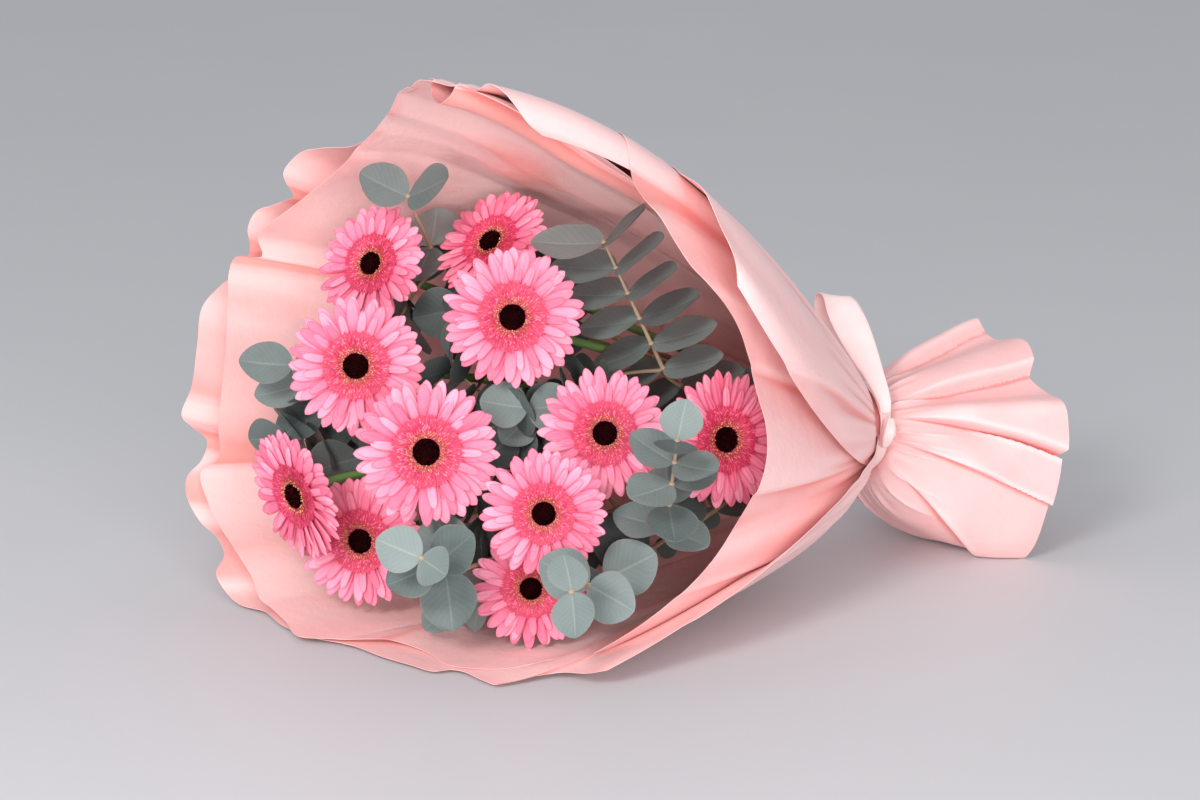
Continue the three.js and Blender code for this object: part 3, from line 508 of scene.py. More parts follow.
# ---- gerberas ---------------------------------------------------------------------------
# Rows of ray petals from the back: how many, tip and half width as shares of the radius,
# height above the bloom's cone at the root and how far the tips fall or rise from it.
PETAL_ROWS = [
    (24, 1.02, 0.098, -3.2, -0.2),
    (25, 0.96, 0.090, -2.0, -0.1),
    (17, 0.80, 0.062, -0.7, 0.5),
]
PETAL_ROOT = 0.27
PETAL_STATIONS = 13
PETAL_ACROSS = 9
PETAL_THICK = 0.22
TIP_FROM, TIP_SPAN = 0.68, 0.323  # where a petal starts to close, and over how much of it
NOTCH = 0.013  # depth of the notches in its tip, of the radius
# The fringe: its reach as shares of the radius, and for its innermost and outermost ring how
# many florets, their length and half width as shares of the radius, and their lean in degrees.
FRINGE_FROM, FRINGE_TO = 0.19, 0.46
FRINGE_RINGS = 11
FLORETS = (36, 80)
FLORET_LONG = (0.05, 0.105)
FLORET_WIDE = (0.0095, 0.0165)
FLORET_LEAN = (74, 20)
FLORET_THICK = 0.22
EYE_SHARE = 0.19
EYE_RISE = 2.0
BUDS, GRAINS = 120, 84
GOLDEN_TURN = math.pi * (3 - math.sqrt(5))
STEM_SIDES = 12
CUP_OUTLINE = [  # of the green cup under the bloom: radius and height over the flower's back
    (0.0, -13.0), (3.4, -12.5), (5.4, -10), (7.6, -6), (8.2, -2.5), (6.4, -0.5), (0.0, -0.4),
]
BRACTS = 13  # in each of two rows
BRACT_RADII = (0.9, 1.25, 1.1, 0.7, 0.2)


def head_frame(at, face):
    """A way to put points by a bloom's own axes: across, up and out of its face."""
    n = unit(face)
    x = unit(np.cross([0, 0, 1.0], n))
    y = np.cross(n, x)

    def put(u, v, w, turn=0.0):
        """The point, turned round the middle of the bloom."""
        c, s = np.cos(turn), np.sin(turn)
        u, v, w = (np.asarray(part, float)[..., None] for part in (u * c - v * s, u * s + v * c, w))
        return np.asarray(at, float) + u * x + v * y + w * n
    return put


def petal_ring():
    """Places across a petal, over its face from edge to edge and then three under it."""
    places = np.concatenate([np.linspace(-1, 1, PETAL_ACROSS), [0.62, 0, -0.62]])
    return places, np.array([0] * PETAL_ACROSS + [1] * 3)


def add_petal(body, put, R, row, turn, seed):
    """A ray petal with a closing, notched tip, lengthwise ridges and a bow of its own."""
    _, tip, half, lift, rise = row
    q, below = petal_ring()
    draw = draws(seed, 7)
    length = R * tip * (0.965 + 0.05 * draw[0])
    root = R * PETAL_ROOT
    t = np.linspace(0, 1, PETAL_STATIONS)[:, None]
    t = 1 - (1 - t) ** 1.25
    grow = mix(0.55, 1.0, smoothstep(t / 0.55))
    close = np.clip(1 - (np.clip(t - TIP_FROM, 0, 1) / TIP_SPAN) ** 2.4, 0, 1) ** 0.6
    width = R * half * (0.93 + 0.14 * draw[1]) * grow * close
    notch = R * NOTCH * (np.cos(2 * math.pi * q) - 0.4) * smoothstep((t - 0.82) / 0.18)
    along = root + (length - root) * t + notch
    across = q * width + (draw[2] - 0.5) * 0.11 * (along - root)
    ridge = 0.2 * np.cos(2 * math.pi * q) * smoothstep(t / 0.2) * close
    z = CUP * along + lift + rise * t
    z = z + 1.1 * np.sin(math.pi * t) * (0.6 + 0.8 * draw[3]) - 2.8 * (draw[4] - 0.35) * t ** 3
    z = z + (0.13 + 0.16 * (draw[5] - 0.5)) * q * width - 0.06 * q ** 2 * width + ridge
    z = z - below * (PETAL_THICK * np.maximum(close, 0.4))
    body.rings(put(along, across, z, turn), along=t, across=q, tone=draw[6])


def petals_of(R, put, seed):
    """Three rows of ray petals, on a hub that holds their roots."""
    body = Builder()
    for k, row in enumerate(PETAL_ROWS):
        count = row[0]
        for i in range(count):
            wobble = 0.35 * (float(noise(seed + 11 * k + i * 1.7)) - 0.5)
            turn = 2 * math.pi * (i + 0.5 * k + wobble) / count
            add_petal(body, put, R, row, turn, seed + 100 * k + 3.3 * i)
    hub = [(0.0, -HEAD_DEPTH), (0.2 * R, -HEAD_DEPTH + CUP * 0.2 * R),
           (0.33 * R, -3.6 + CUP * 0.33 * R), (0.36 * R, -1.6 + CUP * 0.36 * R),
           (0.3 * R, -0.1 + CUP * 0.3 * R), (0.0, -0.1)]
    turned(body, hub, 28, put, along=0.0, across=0.0, tone=0.5)
    return body


def turned(body, profile, sides, put, **values):
    """A closed turned body whose profile starts and ends on the axis."""
    turn = np.arange(sides) / sides * 2 * math.pi
    inner = profile[1:-1]
    rings = [put(r, 0, np.full(sides, z), turn) for r, z in inner]
    ends = [put(0, 0, profile[0][1]), put(0, 0, profile[-1][1])]
    body.add(np.vstack(rings + ends), pointed_faces(len(inner), sides), **values)


def add_floret(body, put, R, f, turn, draw):
    """A thin leaning floret with a ridge, at a share f of the way out through the fringe."""
    stations = np.linspace(0, 1, 5)
    r = mix(FRINGE_FROM, FRINGE_TO - 0.05, f) * R
    size = R * mix(*FLORET_LONG, f) * (0.75 + 0.5 * draw[1])
    lean = math.radians(mix(*FLORET_LEAN, f ** 0.8))
    tilt = lean * (0.85 + 0.3 * draw[2]) * (1 - 0.35 * stations)
    out = r + size * stations * np.cos(tilt)
    up = 0.6 + CUP * r + size * stations * np.sin(tilt) - 0.5 * f
    wide = R * mix(*FLORET_WIDE, f) * np.array([0.8, 1.0, 1.0, 0.8, 0.25])[:, None]
    side = np.array([-1, 0, 1, 0])
    thick = FLORET_THICK * np.array([0, 1, 0, -0.6])
    across = wide * side + (draw[3] - 0.5) * 0.35 * (out[:, None] - r)
    lift = up[:, None] + thick * np.cos(tilt)[:, None] * np.minimum(1, wide)
    away = out[:, None] - thick * np.sin(tilt)[:, None]
    body.rings(put(away, across, lift, turn), depth=stations[:, None], ring=f, tone=draw[1])


def fringe_of(R, put, seed):
    """Rings of short florets between the eye and the ray petals."""
    body = Builder()
    low, high = FRINGE_FROM * R, (FRINGE_TO + 0.03) * R
    bed = [(0.0, 0.3), (high, 0.3 + CUP * high), (high, 0.8 + CUP * high), (low, 1.2 + CUP * low),
           (0.0, 1.2)]
    turned(body, bed, 36, put, depth=0.0, ring=0.5, tone=0.5)
    for k in range(FRINGE_RINGS):
        f = k / (FRINGE_RINGS - 1)
        count = int(round(mix(*FLORETS, f)))
        for i in range(count):
            draw = draws(seed + 31 * k + 1.9 * i, 4)
            turn = 2 * math.pi * (i + 0.5 * k + 0.5 * (draw[0] - 0.5)) / count
            add_floret(body, put, R, f, turn, draw)
    return body


def add_bud(body, foot, top, radii, mark, tone):
    """A small round-headed grain or bud."""
    path = np.linspace(0, 1, 4)[:, None] * (top - foot) + foot
    body.tube(path, radii, 6, mark, tone=tone)


def eye_of(R, put, seed):
    """The dark middle: packed buds on a low dome, and a ring of pollen round it."""
    body = Builder()
    radius = EYE_SHARE * R
    sit = CUP * radius + 1.25
    dome = [(0.0, 0.4)] + [(radius * math.sin(a), sit + EYE_RISE * math.cos(a))
                           for a in np.radians([90, 72, 50, 25])] + [(0.0, sit + EYE_RISE)]
    turned(body, dome, 24, put, tone=0.3)
    for i in range(BUDS):
        share = math.sqrt((i + 0.5) / BUDS)
        turn = i * GOLDEN_TURN
        r = radius * share * 0.97
        height = sit + EYE_RISE * math.sqrt(max(0, 1 - (r / radius) ** 2)) - 0.9 * (1 - share) ** 2
        size = mix(0.42, 0.62, share) * R / 45
        top = put(r * 1.04, 0, height + 1.0 + 0.5 * share, turn)
        add_bud(body, put(r, 0, height - 0.2, turn), top,
                size * np.array([1, 1.05, 0.8, 0.3]), 0, float(noise(seed + i)))
    for i in range(GRAINS):
        draw = draws(seed + 77 + 2.3 * i, 3)
        turn = 2 * math.pi * (i + 0.8 * (draw[0] - 0.5)) / GRAINS
        r = radius * (0.97 + 0.42 * draw[1])
        top = put(r * 1.05, 0, sit + 0.9 + 0.8 * draw[2], turn)
        add_bud(body, put(r, 0, sit + 0.2, turn), top,
                0.42 * R / 45 * np.array([0.5, 0.9, 1.15, 0.7]), 1, draw[2])
    return body


def stem_of(flower, put):
    """A stem with its pale cut end, the green cup under the bloom and its bracts."""
    _, face, _, slot = flower
    body = Builder()
    n = unit(face)
    back = put(0, 0, -HEAD_DEPTH - 0.35)
    neck = back - 20 * n
    path = np.vstack([stem_path(slot, neck, n), back - 14 * n, back - 11 * n])
    radii = np.full(len(path), float(STEM_RADIUS))
    radii[-2:] = 3.2, 3.6
    up = np.repeat(np.linspace(0, 1, len(path)), STEM_SIDES)
    body.tube(path, radii, STEM_SIDES, up=np.concatenate([up, [0, 1]]))
    turned(body, [(r, z - HEAD_DEPTH) for r, z in CUP_OUTLINE], 20, put, up=1.0)
    t = np.linspace(0, 1, 5)
    for tier, (size, start) in enumerate([(7.5, -11), (7.0, -7.5)]):
        for i in range(BRACTS):
            turn = 2 * math.pi * (i + 0.5 * tier) / BRACTS
            r = mix(5.0 + 1.6 * tier, 8.4, t) + 0.5
            spine = put(r, 0, start - HEAD_DEPTH + size * t, turn)
            body.tube(spine, BRACT_RADII, 6, squash=0.45, up=1.0)
    return body


# ---- eucalyptus -------------------------------------------------------------------------
DEEPER_PAIRS = (6, 6, 4, 6, 4, 6, 5, 5)  # of each sprig, farther down than the part's leaves
DEEP_PITCH = 19
LEAF_STATIONS = 15
LEAF_ACROSS = 13
LEAF_THICK = 0.45
LEAF_TONE, DEEP_SHADE_TONE = 0.85, 0.4  # leaves deeper in the bouquet are darker: painted shade
SHOOTS = 34  # side shoots between the stems, deeper than the leaves that the part has
SHOOT_SPREAD, SHOOT_RISE = 138, 4  # reach of their tips round the axis and its middle's height
SHOOT_DEPTH = 34  # how far behind the plane of the blooms their tips lie
SHOOT_ROOM = 20  # how far their tips stay from blooms and paper
SHOOT_BACK = 34  # how far behind its tip a shoot leaves its twig
SHOOT_TRIES = 6
SHOOT_STEPS = 12
SHOOT_PAIRS = 3
SHOOT_LEAF = 36
TWIG_STEPS = 12  # along the leafy part of a sprig
NODE_RADII = (1.2, 1.9, 2.2, 1.9, 1.2)  # of the swelling at a leaf pair
CROWDED, SHOOT_CLEAR = 5, 62  # a sprig of so many pairs keeps side shoots this far off
SHOOT_END = (38, 125)  # the paper is bare farther right than this and above it
MOUTH = 150  # how far the paper opens at full reach, as room for leaves
LEAF_ROOM = 3  # how far leaves stay from the paper
BLOOM_BACK, BLOOM_FRONT, BLOOM_SIDE = -13, 12, 2  # how far they stay from a bloom
LEAF_SHARES = (1, 0.85, 0.7, 0.55, 0.4)  # sizes that are tried
# Places on a leaf that are tested: along, across and up from it, as shares of its length.
LEAF_SPOTS = ((0.35, 0, 0), (0.5, 0.45, 0.05), (0.5, -0.45, 0.05), (0.75, 0, 0.05), (1, 0, 0.1))
TWIG = 1  # number of the twig's material


def add_leaf(body, root, along, up, length, seed, bright=LEAF_TONE):
    """A cupped leaf with a sunken rib, shallow veins and a waved edge."""
    wide = unit(np.cross(up, along))
    q = np.concatenate([np.linspace(-1, 1, LEAF_ACROSS), [0.66, 0.0, -0.66]])
    below = np.array([0] * LEAF_ACROSS + [1] * 3)
    u = ((1 - np.cos(np.linspace(0.02, math.pi - 0.03, LEAF_STATIONS))) / 2)[:, None]
    half = 0.5 * np.sin(math.pi * u ** 0.9) ** 0.6
    wave = 0.012 * np.sin(9 * u + 6.28 * float(noise(seed))) * np.abs(q) ** 3
    v = q * half
    lift = 0.1 * np.abs(v) ** 1.3 + 0.1 * u * u + wave
    rib = -0.011 * np.exp(-(q / 0.09) ** 2) * smoothstep((1 - u) / 0.3)
    veins = 0.0035 * np.sin(34 * (u - 0.55 * np.abs(q) * half * 2)) * (1 - np.abs(q)) ** 0.5
    height = (lift + rib + veins * smoothstep(np.abs(q) / 0.2)) * length - below * LEAF_THICK
    points = (root + u[..., None] * length * along + v[..., None] * length * wide
              + height[..., None] * up)
    # The tone varies at random from leaf to leaf and is lowered on deep leaves as painted shade.
    body.rings(points, along=u, across=q, tone=bright * (0.3 + 0.7 * float(noise(seed + 5))))


def room_at(point):
    """About how far it is from a point inside the bouquet to the paper round it."""
    angle, reach, r = measure(point)
    return float(WAIST["inner"] + MOUTH * opening(reach, angle) - r)


def near_blooms(point):
    """Of each bloom, how far the point is in front of it and how far beside its rim."""
    for at, face, R, _ in FLOWERS:
        n = unit(face)
        off = point - np.array(at, float)
        depth = off @ n
        yield depth, np.linalg.norm(off - depth * n) - R


def is_clear(point):
    """Whether a leaf may reach the point: inside the paper and clear of every bloom."""
    return room_at(point) >= LEAF_ROOM and not any(
        BLOOM_BACK < depth < BLOOM_FRONT and beside < BLOOM_SIDE
        for depth, beside in near_blooms(point))


def clear_size(root, along, up, size):
    """The largest size up to the given one at which a leaf is clear, or 0."""
    wide = np.cross(up, along)
    for share in LEAF_SHARES:
        here = size * share
        if all(is_clear(root + along * here * u + wide * here * v + up * here * lift)
               for u, v, lift in LEAF_SPOTS):
            return here
    return 0


def add_deep_leaf(body, root, ways, size, seed):
    """A leaf darkened as painted shade, as large as the room for it allows."""
    size = clear_size(root, *ways, size)
    if size:
        add_leaf(body, root, *ways, size, seed, DEEP_SHADE_TONE)


def leaf_ways(way, turn, lean, x, y):
    """The way a leaf points and the way it faces, on a twig with the axes x and y across it."""
    out = x * math.cos(turn) + y * math.sin(turn)
    return way * math.cos(lean) + out * math.sin(lean), way * math.sin(lean) - out * math.cos(lean)


def bloom_plane():
    """The plane nearest to the blooms: their reach as share, slope sideways and slope up."""
    v = np.array([at for at, _, _, _ in FLOWERS], float) - TIE
    rows = np.column_stack([np.ones(len(v)), v @ SIDE_WAY, v @ TOP_WAY])
    return np.linalg.lstsq(rows, v @ AXIS, rcond=None)[0]


def behind_blooms(point):
    """The point, drawn back along the axis until no bloom is too near to it."""
    for _ in range(SHOOT_TRIES):
        short = [depth + SHOOT_ROOM for depth, beside in near_blooms(point)
                 if beside < SHOOT_ROOM and -SHOOT_ROOM < depth < 2 * SHOOT_ROOM]
        if not short:
            break
        point = point - AXIS * (max(short) + 1)
    return point


def crowds(tip):
    """Whether a side shoot's tip is among the leaves of a long sprig."""
    for foot, end, _, _, pairs, *_ in SPRIGS:
        foot, end = np.array(foot, float), np.array(end, float)
        share = np.clip((tip - foot) @ (end - foot) / np.sum((end - foot) ** 2), -0.3, 1)
        if pairs >= CROWDED and np.linalg.norm(foot + share * (end - foot) - tip) < SHOOT_CLEAR:
            return True
    return False


def shoot_tips():
    """Tips of side shoots, spread evenly behind the blooms like seeds in a sunflower."""
    level, sideways, up = bloom_plane()
    tips = []
    for i in range(SHOOTS):
        r = SHOOT_SPREAD * math.sqrt((i + 0.5) / SHOOTS)
        turn = i * GOLDEN_TURN
        x, y = r * math.cos(turn), r * math.sin(turn) + SHOOT_RISE
        for _ in range(SHOOT_TRIES):
            reach = level + sideways * x + up * y - SHOOT_DEPTH
            tip = behind_blooms(TIE + AXIS * reach + SIDE_WAY * x + TOP_WAY * y)
            if room_at(tip) > SHOOT_ROOM:
                if (tip[0] < SHOOT_END[0] or tip[2] < SHOOT_END[1]) and not crowds(tip):
                    tips.append(tip)
                break
            x, y = 0.85 * x, 0.85 * y
    return tips


def add_shoot(body, lead, tip, seed):
    """A side shoot from the nearest part of a twig that is farther back than its tip."""
    behind = lead[(tip - lead) @ AXIS > SHOOT_BACK]
    if not len(behind):
        return
    foot = behind[np.argmin(np.linalg.norm(behind - tip, axis=1))]
    way = unit(tip - foot)
    span = np.linalg.norm(tip - foot)
    t = np.linspace(0, 1, SHOOT_STEPS)[:, None]
    bow = TOP_WAY * 0.06 * span * (float(noise(seed)) - 0.5)
    path = foot + (tip - foot) * t + (AXIS * 0.16 * span + bow) * np.sin(math.pi * t) * (1 - t)
    if min(room_at(point) for point in path) < 5:
        return
    body.tube(path, np.linspace(1.5, 0.8, SHOOT_STEPS), 8, TWIG, along=0.0, across=0.0, tone=0.5)
    x = unit(np.cross(way, [0, 0, 1.0]))
    y = np.cross(way, x)
    for pair in range(SHOOT_PAIRS):
        root = path[-1 - 2 * pair]
        for half in (0, 1):
            draw = float(noise(seed + 7 * pair + 3 * half))
            turn = math.radians(60 * seed + 74 * pair + 180 * half + 30 * draw)
            lean = math.radians(62 + 9 * pair + 14 * draw)
            size = SHOOT_LEAF * (0.85 + 0.3 * draw)
            add_deep_leaf(body, root, leaf_ways(way, turn, lean, x, y), size, 50 * draw + seed)


def sprig_of(sprig, index, deeper):
    """A leafy twig, with some pairs more than the part has, and the twig's path to its foot."""
    foot, tip, roll, twist, pairs, leaf, spread_by, slot = sprig
    foot, tip = np.array(foot, float), np.array(tip, float)
    way = tip - foot
    length = np.linalg.norm(way)
    way = way / length
    x = unit(np.array([1.0, 0, 0]) - way[0] * way)
    y = np.cross(way, x)
    body = Builder()
    lead = stem_path(slot, foot, way)
    path = np.vstack([lead, foot + way * np.linspace(0, length, TWIG_STEPS)[1:, None]])
    radii = np.concatenate([np.linspace(2.3, 1.6, len(lead)),
                            np.linspace(1.55, 0.9, TWIG_STEPS - 1)])
    body.tube(path, radii, 10, TWIG, along=0.0, across=0.0, tone=0.5)
    back = lead[::-1]
    gone = travelled(back)
    for pair in range(pairs + deeper):
        t = min(1, pair / max(1, pairs - 1))
        root = tip + way * (-2 - t * (length - 4))
        if pair >= pairs:
            past = DEEP_PITCH * (pair - pairs + 1)
            root = np.array([np.interp(past, gone, column) for column in back.T])
        node = root + way * np.linspace(-1.6, 1.6, 5)[:, None]
        body.tube(node, NODE_RADII, 8, TWIG, along=0.0, across=0.0, tone=0.2)
        for half in (0, 1):
            seed = float(noise(index * 31 + pair * 7 + half * 3))
            turn = math.radians(roll + twist * pair + 180 * half + 16 * (seed - 0.5))
            lean = math.radians(mix(spread_by - 18, spread_by + 10, t) + 8 * (seed - 0.5))
            ways = leaf_ways(way, turn, lean, x, y)
            size = mix(*leaf, t ** 0.7) * (0.92 + 0.16 * seed)
            if pair < pairs:
                add_leaf(body, root, *ways, size, 50 * seed + pair)
            else:
                add_deep_leaf(body, root, ways, size, 50 * seed + pair)
    return body, lead


# ---- wrapping paper ---------------------------------------------------------------------
# Columns of each sheet in the part, and how many times finer they are here.
PART_COLUMNS = {"inner": 48, "outer": 68, "side": 30, "top": 12}
FINER = 6
SHEET_ROWS = 56
LIP_FROM, LIP_TO = -52, 28  # degrees between which the inner sheet's lip is raised
LIP_RISE = 17
FOLD_PITCH, FOLD_DEPTH = 14, 7.0  # degrees between hand-made folds, and how far they reach out
TOP_DRAWN = math.radians(10)  # how far the top sheet's free edge is drawn straight
SKIRT_COLUMNS, SKIRT_ROWS = 720, 72
CALM_PASSES = 14 * FINER ** 2  # they take the flutes off a rim, down to its broad course
# The outer sheet lies under the upper ones up to one share of its columns, then over them
# from another one on.
OUTER_BEGUN, OUTER_OVER = 0.6, 0.72
# evening passes that find the hollows, where the paper's colour is darkened as painted shade
HOLLOW_PASSES = 24
PLEATS = 34  # fine gathers round the tie
LONG_PLEATS = 11
FAR_OUT = 420  # a radius outside every sheet
SETTLE_TRIES = 3
SETTLED = 0.05  # a shortfall that may stay
CORNER = 2.0  # how softly paper bends where it reaches the table


def opening(reach, angle):
    """How far a sheet has opened, 0 at the ribbon: a straight flare on top, a shoulder below."""
    t = np.maximum(0, (reach - NECK) / (FULL_REACH - NECK))
    high = smoothstep((np.cos(angle - 0.1) + 0.6) / 1.3)
    straight = 0.9 * np.sin(math.pi / 2 * np.minimum(1, t)) + 0.1 * np.sqrt(t)
    return mix(t ** FLARE, straight, high)


def waist_of(name, angle, u):
    """The sheets overlap in a round, and the outer one's far end comes over them all."""
    if name == "side":
        return mix(WAIST["side"], WAIST["inner"], smoothstep((angle - 1) / 0.7))
    if name == "outer":
        return mix(WAIST["outer"], WAIST["last"], smoothstep((u - OUTER_OVER) / 0.12))
    return np.full(np.shape(angle), WAIST[name])


def sheet_grid(name, rim):
    """Middle surface of a sheet: rows from the collar to the rim, with the rim's flutes."""
    columns = PART_COLUMNS[name] * FINER
    edge = resampled(rim, columns)
    edge[:, 0] = np.radians(edge[:, 0])
    calm = smoothed(edge, CALM_PASSES)
    u = np.linspace(0, 1, columns + 1)
    even = np.radians(mix(*COLLAR_TURN[name], u))
    angle, reach, r = calm.T
    waist = waist_of(name, even, u)
    flute = place(*edge.T) - place(angle, reach, r)
    rows = [place(even, np.full(columns + 1, float(COLLAR)), waist)]
    for share in np.linspace(0, 1, SHEET_ROWS - 1) ** 1.15:
        here = mix(NECK, reach, share)
        turn = mix(even, angle, share ** TURN_POWER[name])
        if name == "top":
            turn = turn - TOP_DRAWN * np.sin(math.pi * share ** 0.8) * smoothstep(2 * u - 1)
        open_ = opening(here, turn) / opening(reach, turn)
        rows.append(place(turn, here, mix(waist, r, open_)) + share * flute)
    return np.array(rows)


def outward(points):
    """The way straight out from the bouquet's axis at each point."""
    v = points - TIE
    return unit(v - (v @ AXIS)[..., None] * AXIS)


def pleated(grid):
    """Gathers that run out from the tie, the same ones on every sheet."""
    angle, reach, _ = measure(grid)
    wander = 0.9 * np.sin(2 * angle + 1) + 0.4 * np.sin(5 * angle + 2)
    fine = np.abs(np.sin(PLEATS * angle / 2 + wander)) + 0.4 * np.sin(PLEATS * angle - wander)
    grown = smoothstep((reach - 14) / 22) * (1 - smoothstep((reach - 40) / 90))
    x = (LONG_PLEATS * (angle + 0.12 * np.sin(3 * angle)) / (2 * math.pi)) % 1
    long_ = x ** 1.5 * (1 - smoothstep((x - 0.93) / 0.07)) - 0.38
    far = smoothstep((reach - 20) / 40) * (1 - smoothstep((reach - 90) / 190))
    size = (fine - 0.6) * 2.4 * grown + long_ * (1.5 + 0.028 * np.minimum(reach, 150)) * far
    return grid + size[..., None] * outward(grid)


def crumpled(grid, seed, size):
    """Shallow hand-made bends that run lengthwise, flat at the collar."""
    angle, reach, _ = measure(grid)
    x, y = angle * 180, reach
    bends = (np.sin(x / 34 + 1.3 * np.sin(y / 90 + seed)) * np.sin(y / 75 + seed + x / 90)
             + 0.35 * np.sin(x / 15 + y / 60 + seed) * np.sin(y / 38 - x / 50))
    return grid + (size * bends * smoothstep((reach - 25) / 80))[..., None] * outward(grid)


def folded(grid, seed):
    """Long flat panels between crisp folds, as a sheet gets where it was folded by hand."""
    angle, reach, _ = measure(grid)
    step = math.radians(FOLD_PITCH)
    wander = angle + 0.05 * np.sin(reach / 60 + seed) + 0.02 * np.sin(reach / 23 + 3 * seed)
    x = wander / step + 1.7 * np.sin(1.3 * wander + seed)
    before = np.floor(x)
    low = noise(before + seed) - 0.5
    high = noise(before + 1 + seed) - 0.5
    size = FOLD_DEPTH * smoothstep((reach - 90) / 240)
    return grid + (size * mix(low, high, x - before))[..., None] * outward(grid)


def turned_out(grid):
    """The upper lip of the inner sheet, raised toward the outer sheet's."""
    rim = np.degrees(measure(grid[-1])[0])
    over = smoothstep((rim - LIP_FROM) / 22) * (1 - smoothstep((rim - LIP_TO) / 14))
    share = np.linspace(0, 1, len(grid))[:, None]
    return grid + (LIP_RISE * over * smoothstep((share - 0.72) / 0.28))[..., None] * outward(grid)


def tree_of(grids):
    """The sheets as one surface that rays can hit."""
    points, faces = [], []
    for grid in grids:
        rows, columns = grid.shape[:2]
        faces.extend(grid_faces(rows, columns, False, len(points)))
        points.extend(grid.reshape(-1, 3).tolist())
    return BVHTree.FromPolygons(points, faces, all_triangles=False)


def shortfall(grid, tree, start):
    """How much farther out each point must be to lie over the sheets under it."""
    r = measure(grid)[2]
    out = outward(grid)
    need = np.zeros(r.shape)
    for j in range(grid.shape[0]):
        for i in range(start, grid.shape[1]):
            way = Vector(out[j, i])
            origin = Vector(grid[j, i]) + way * (FAR_OUT - r[j, i])
            hit, normal, _, far = tree.ray_cast(origin, -way, FAR_OUT)
            if hit is not None:
                lean = max(0.4, abs(normal.dot(way)))
                need[j, i] = max(0, FAR_OUT - far + SHEET_GAP / lean - r[j, i])
    return need


def spread(field, times):
    """Grows a field over its neighbours, then smooths it without falling below itself."""
    for _ in range(times):
        wide = np.pad(field, 1, mode="edge")
        stack = [wide[a:a + field.shape[0], b:b + field.shape[1]]
                 for a in range(3) for b in range(3)]
        field = np.maximum(field, np.mean(stack, axis=0) * 0.98)
    return field


def settled(grid, under, start, lift):
    """The sheet from a share of its columns on, moved out to lie over the sheets under it."""
    tree = tree_of(under)
    first = int(grid.shape[1] * start)
    for _ in range(SETTLE_TRIES):
        need = shortfall(grid, tree, first)
        if need.max() < SETTLED:
            break
        need = np.maximum(need, spread(need, 6))
        need[:, :first] = 0
        grid = floored(grid + need[..., None] * outward(grid), lift)
    return grid


def floored(grid, lift):
    """Rounds off what would reach below the given height."""
    grid = grid.copy()
    z = grid[..., 2]
    above = (z + lift + np.sqrt((z - lift) ** 2 + CORNER ** 2)) / 2
    grid[..., 2] = np.where(z > lift + 4 * CORNER, z, np.maximum(above - 0.1, lift))
    return grid


def normals_of(grid, closed):
    """The grid's normals turned outward, and whether its faces look the other way."""
    di = np.roll(grid, -1, 1) - np.roll(grid, 1, 1) if closed else np.gradient(grid, axis=1)
    n = unit(np.cross(di, np.gradient(grid, axis=0)))
    flipped = bool(np.sum(n * outward(grid)) < 0)
    return (-n if flipped else n), flipped


def blurred(grid, closed, times):
    """The grid, evened out both ways."""
    for _ in range(times):
        if closed:
            grid = (np.roll(grid, 1, 1) + np.roll(grid, -1, 1) + 2 * grid) / 4
        else:
            grid = smoothed(grid.swapaxes(0, 1), 1).swapaxes(0, 1)
        grid = smoothed(grid, 1)
    return grid


def thick_sheet(name, grid, closed, materials, node):
    """A sheet with an outside, an inside and cut edges, as one closed body."""
    rows, columns = grid.shape[:2]
    n, flipped = normals_of(grid, closed)
    # How far each point lies in a hollow; the paper's colour is darkened by it as painted shade.
    hollow = np.sum((blurred(grid, closed, HOLLOW_PASSES) - grid) * n, axis=-1)
    count = rows * columns
    points = np.concatenate([grid + n * PAPER / 2, grid - n * PAPER / 2])
    face = np.array(grid_faces(rows, columns, closed))
    if flipped:
        face = face[:, ::-1]
    faces = face.tolist() + (face[:, ::-1] + count).tolist()
    index = np.arange(count).reshape(rows, columns)
    loops = [(index[0], False), (index[-1], True)]
    if not closed:
        loops += [(index[:, 0], True), (index[:, -1], False)]
    for line, turned_round in loops:
        ring = list(line) + ([line[0]] if closed else [])
        for a, b in zip(ring[:-1], ring[1:]):
            quad = [int(a), int(b), int(b) + count, int(a) + count]
            faces.append(quad if turned_round != flipped else quad[::-1])
    marks = np.zeros(len(faces), int)
    marks[len(face):2 * len(face)] = 1
    body = Builder()
    body.add(points, faces, marks, hollow=np.tile(hollow.reshape(-1), 2))
    body.piece(name, materials, "wrapping_paper", node)


def sheet_grids():
    """The four sheets, each one bent and laid over those under it."""
    plan = [("inner", RIM_INNER), ("outer", RIM_OUTER), ("side", RIM_SIDE), ("top", RIM_TOP)]
    made = {}
    for k, (name, rim) in enumerate(plan):
        grid = pleated(sheet_grid(name, rim))
        grid = folded(crumpled(grid, 3.1 * k, 0.7), 5.3 * k + 1)
        made[name] = floored(turned_out(grid) if name == "inner" else grid, LIFT[name])
    made["outer"] = settled(made["outer"], [made["inner"]], 0, LIFT["outer"])
    begun = made["outer"][:, :int(made["outer"].shape[1] * OUTER_BEGUN)]
    made["side"] = settled(made["side"], [made["inner"], begun], 0, LIFT["side"])
    made["top"] = settled(made["top"], [made["inner"], begun, made["side"]], 0, LIFT["top"])
    made["outer"] = settled(made["outer"], [made["side"], made["top"]], OUTER_OVER, LIFT["outer"])
    return made


# Edges where one panel of the skirt lies over the next: [degrees at the hem, degrees it has
# turned by the neck, height toward the hem, share of the length where it has ended].
SKIRT_EDGES = [
    (-146, 8, 8, 2), (-108, -6, 9, 2), (-66, 8, 9, 2), (-24, 4, 8, 2), (24, 12, 12, 2),
    (82, -22, 18, 2), (106, -14, 11, 0.75), (160, -42, 10, 2),
]


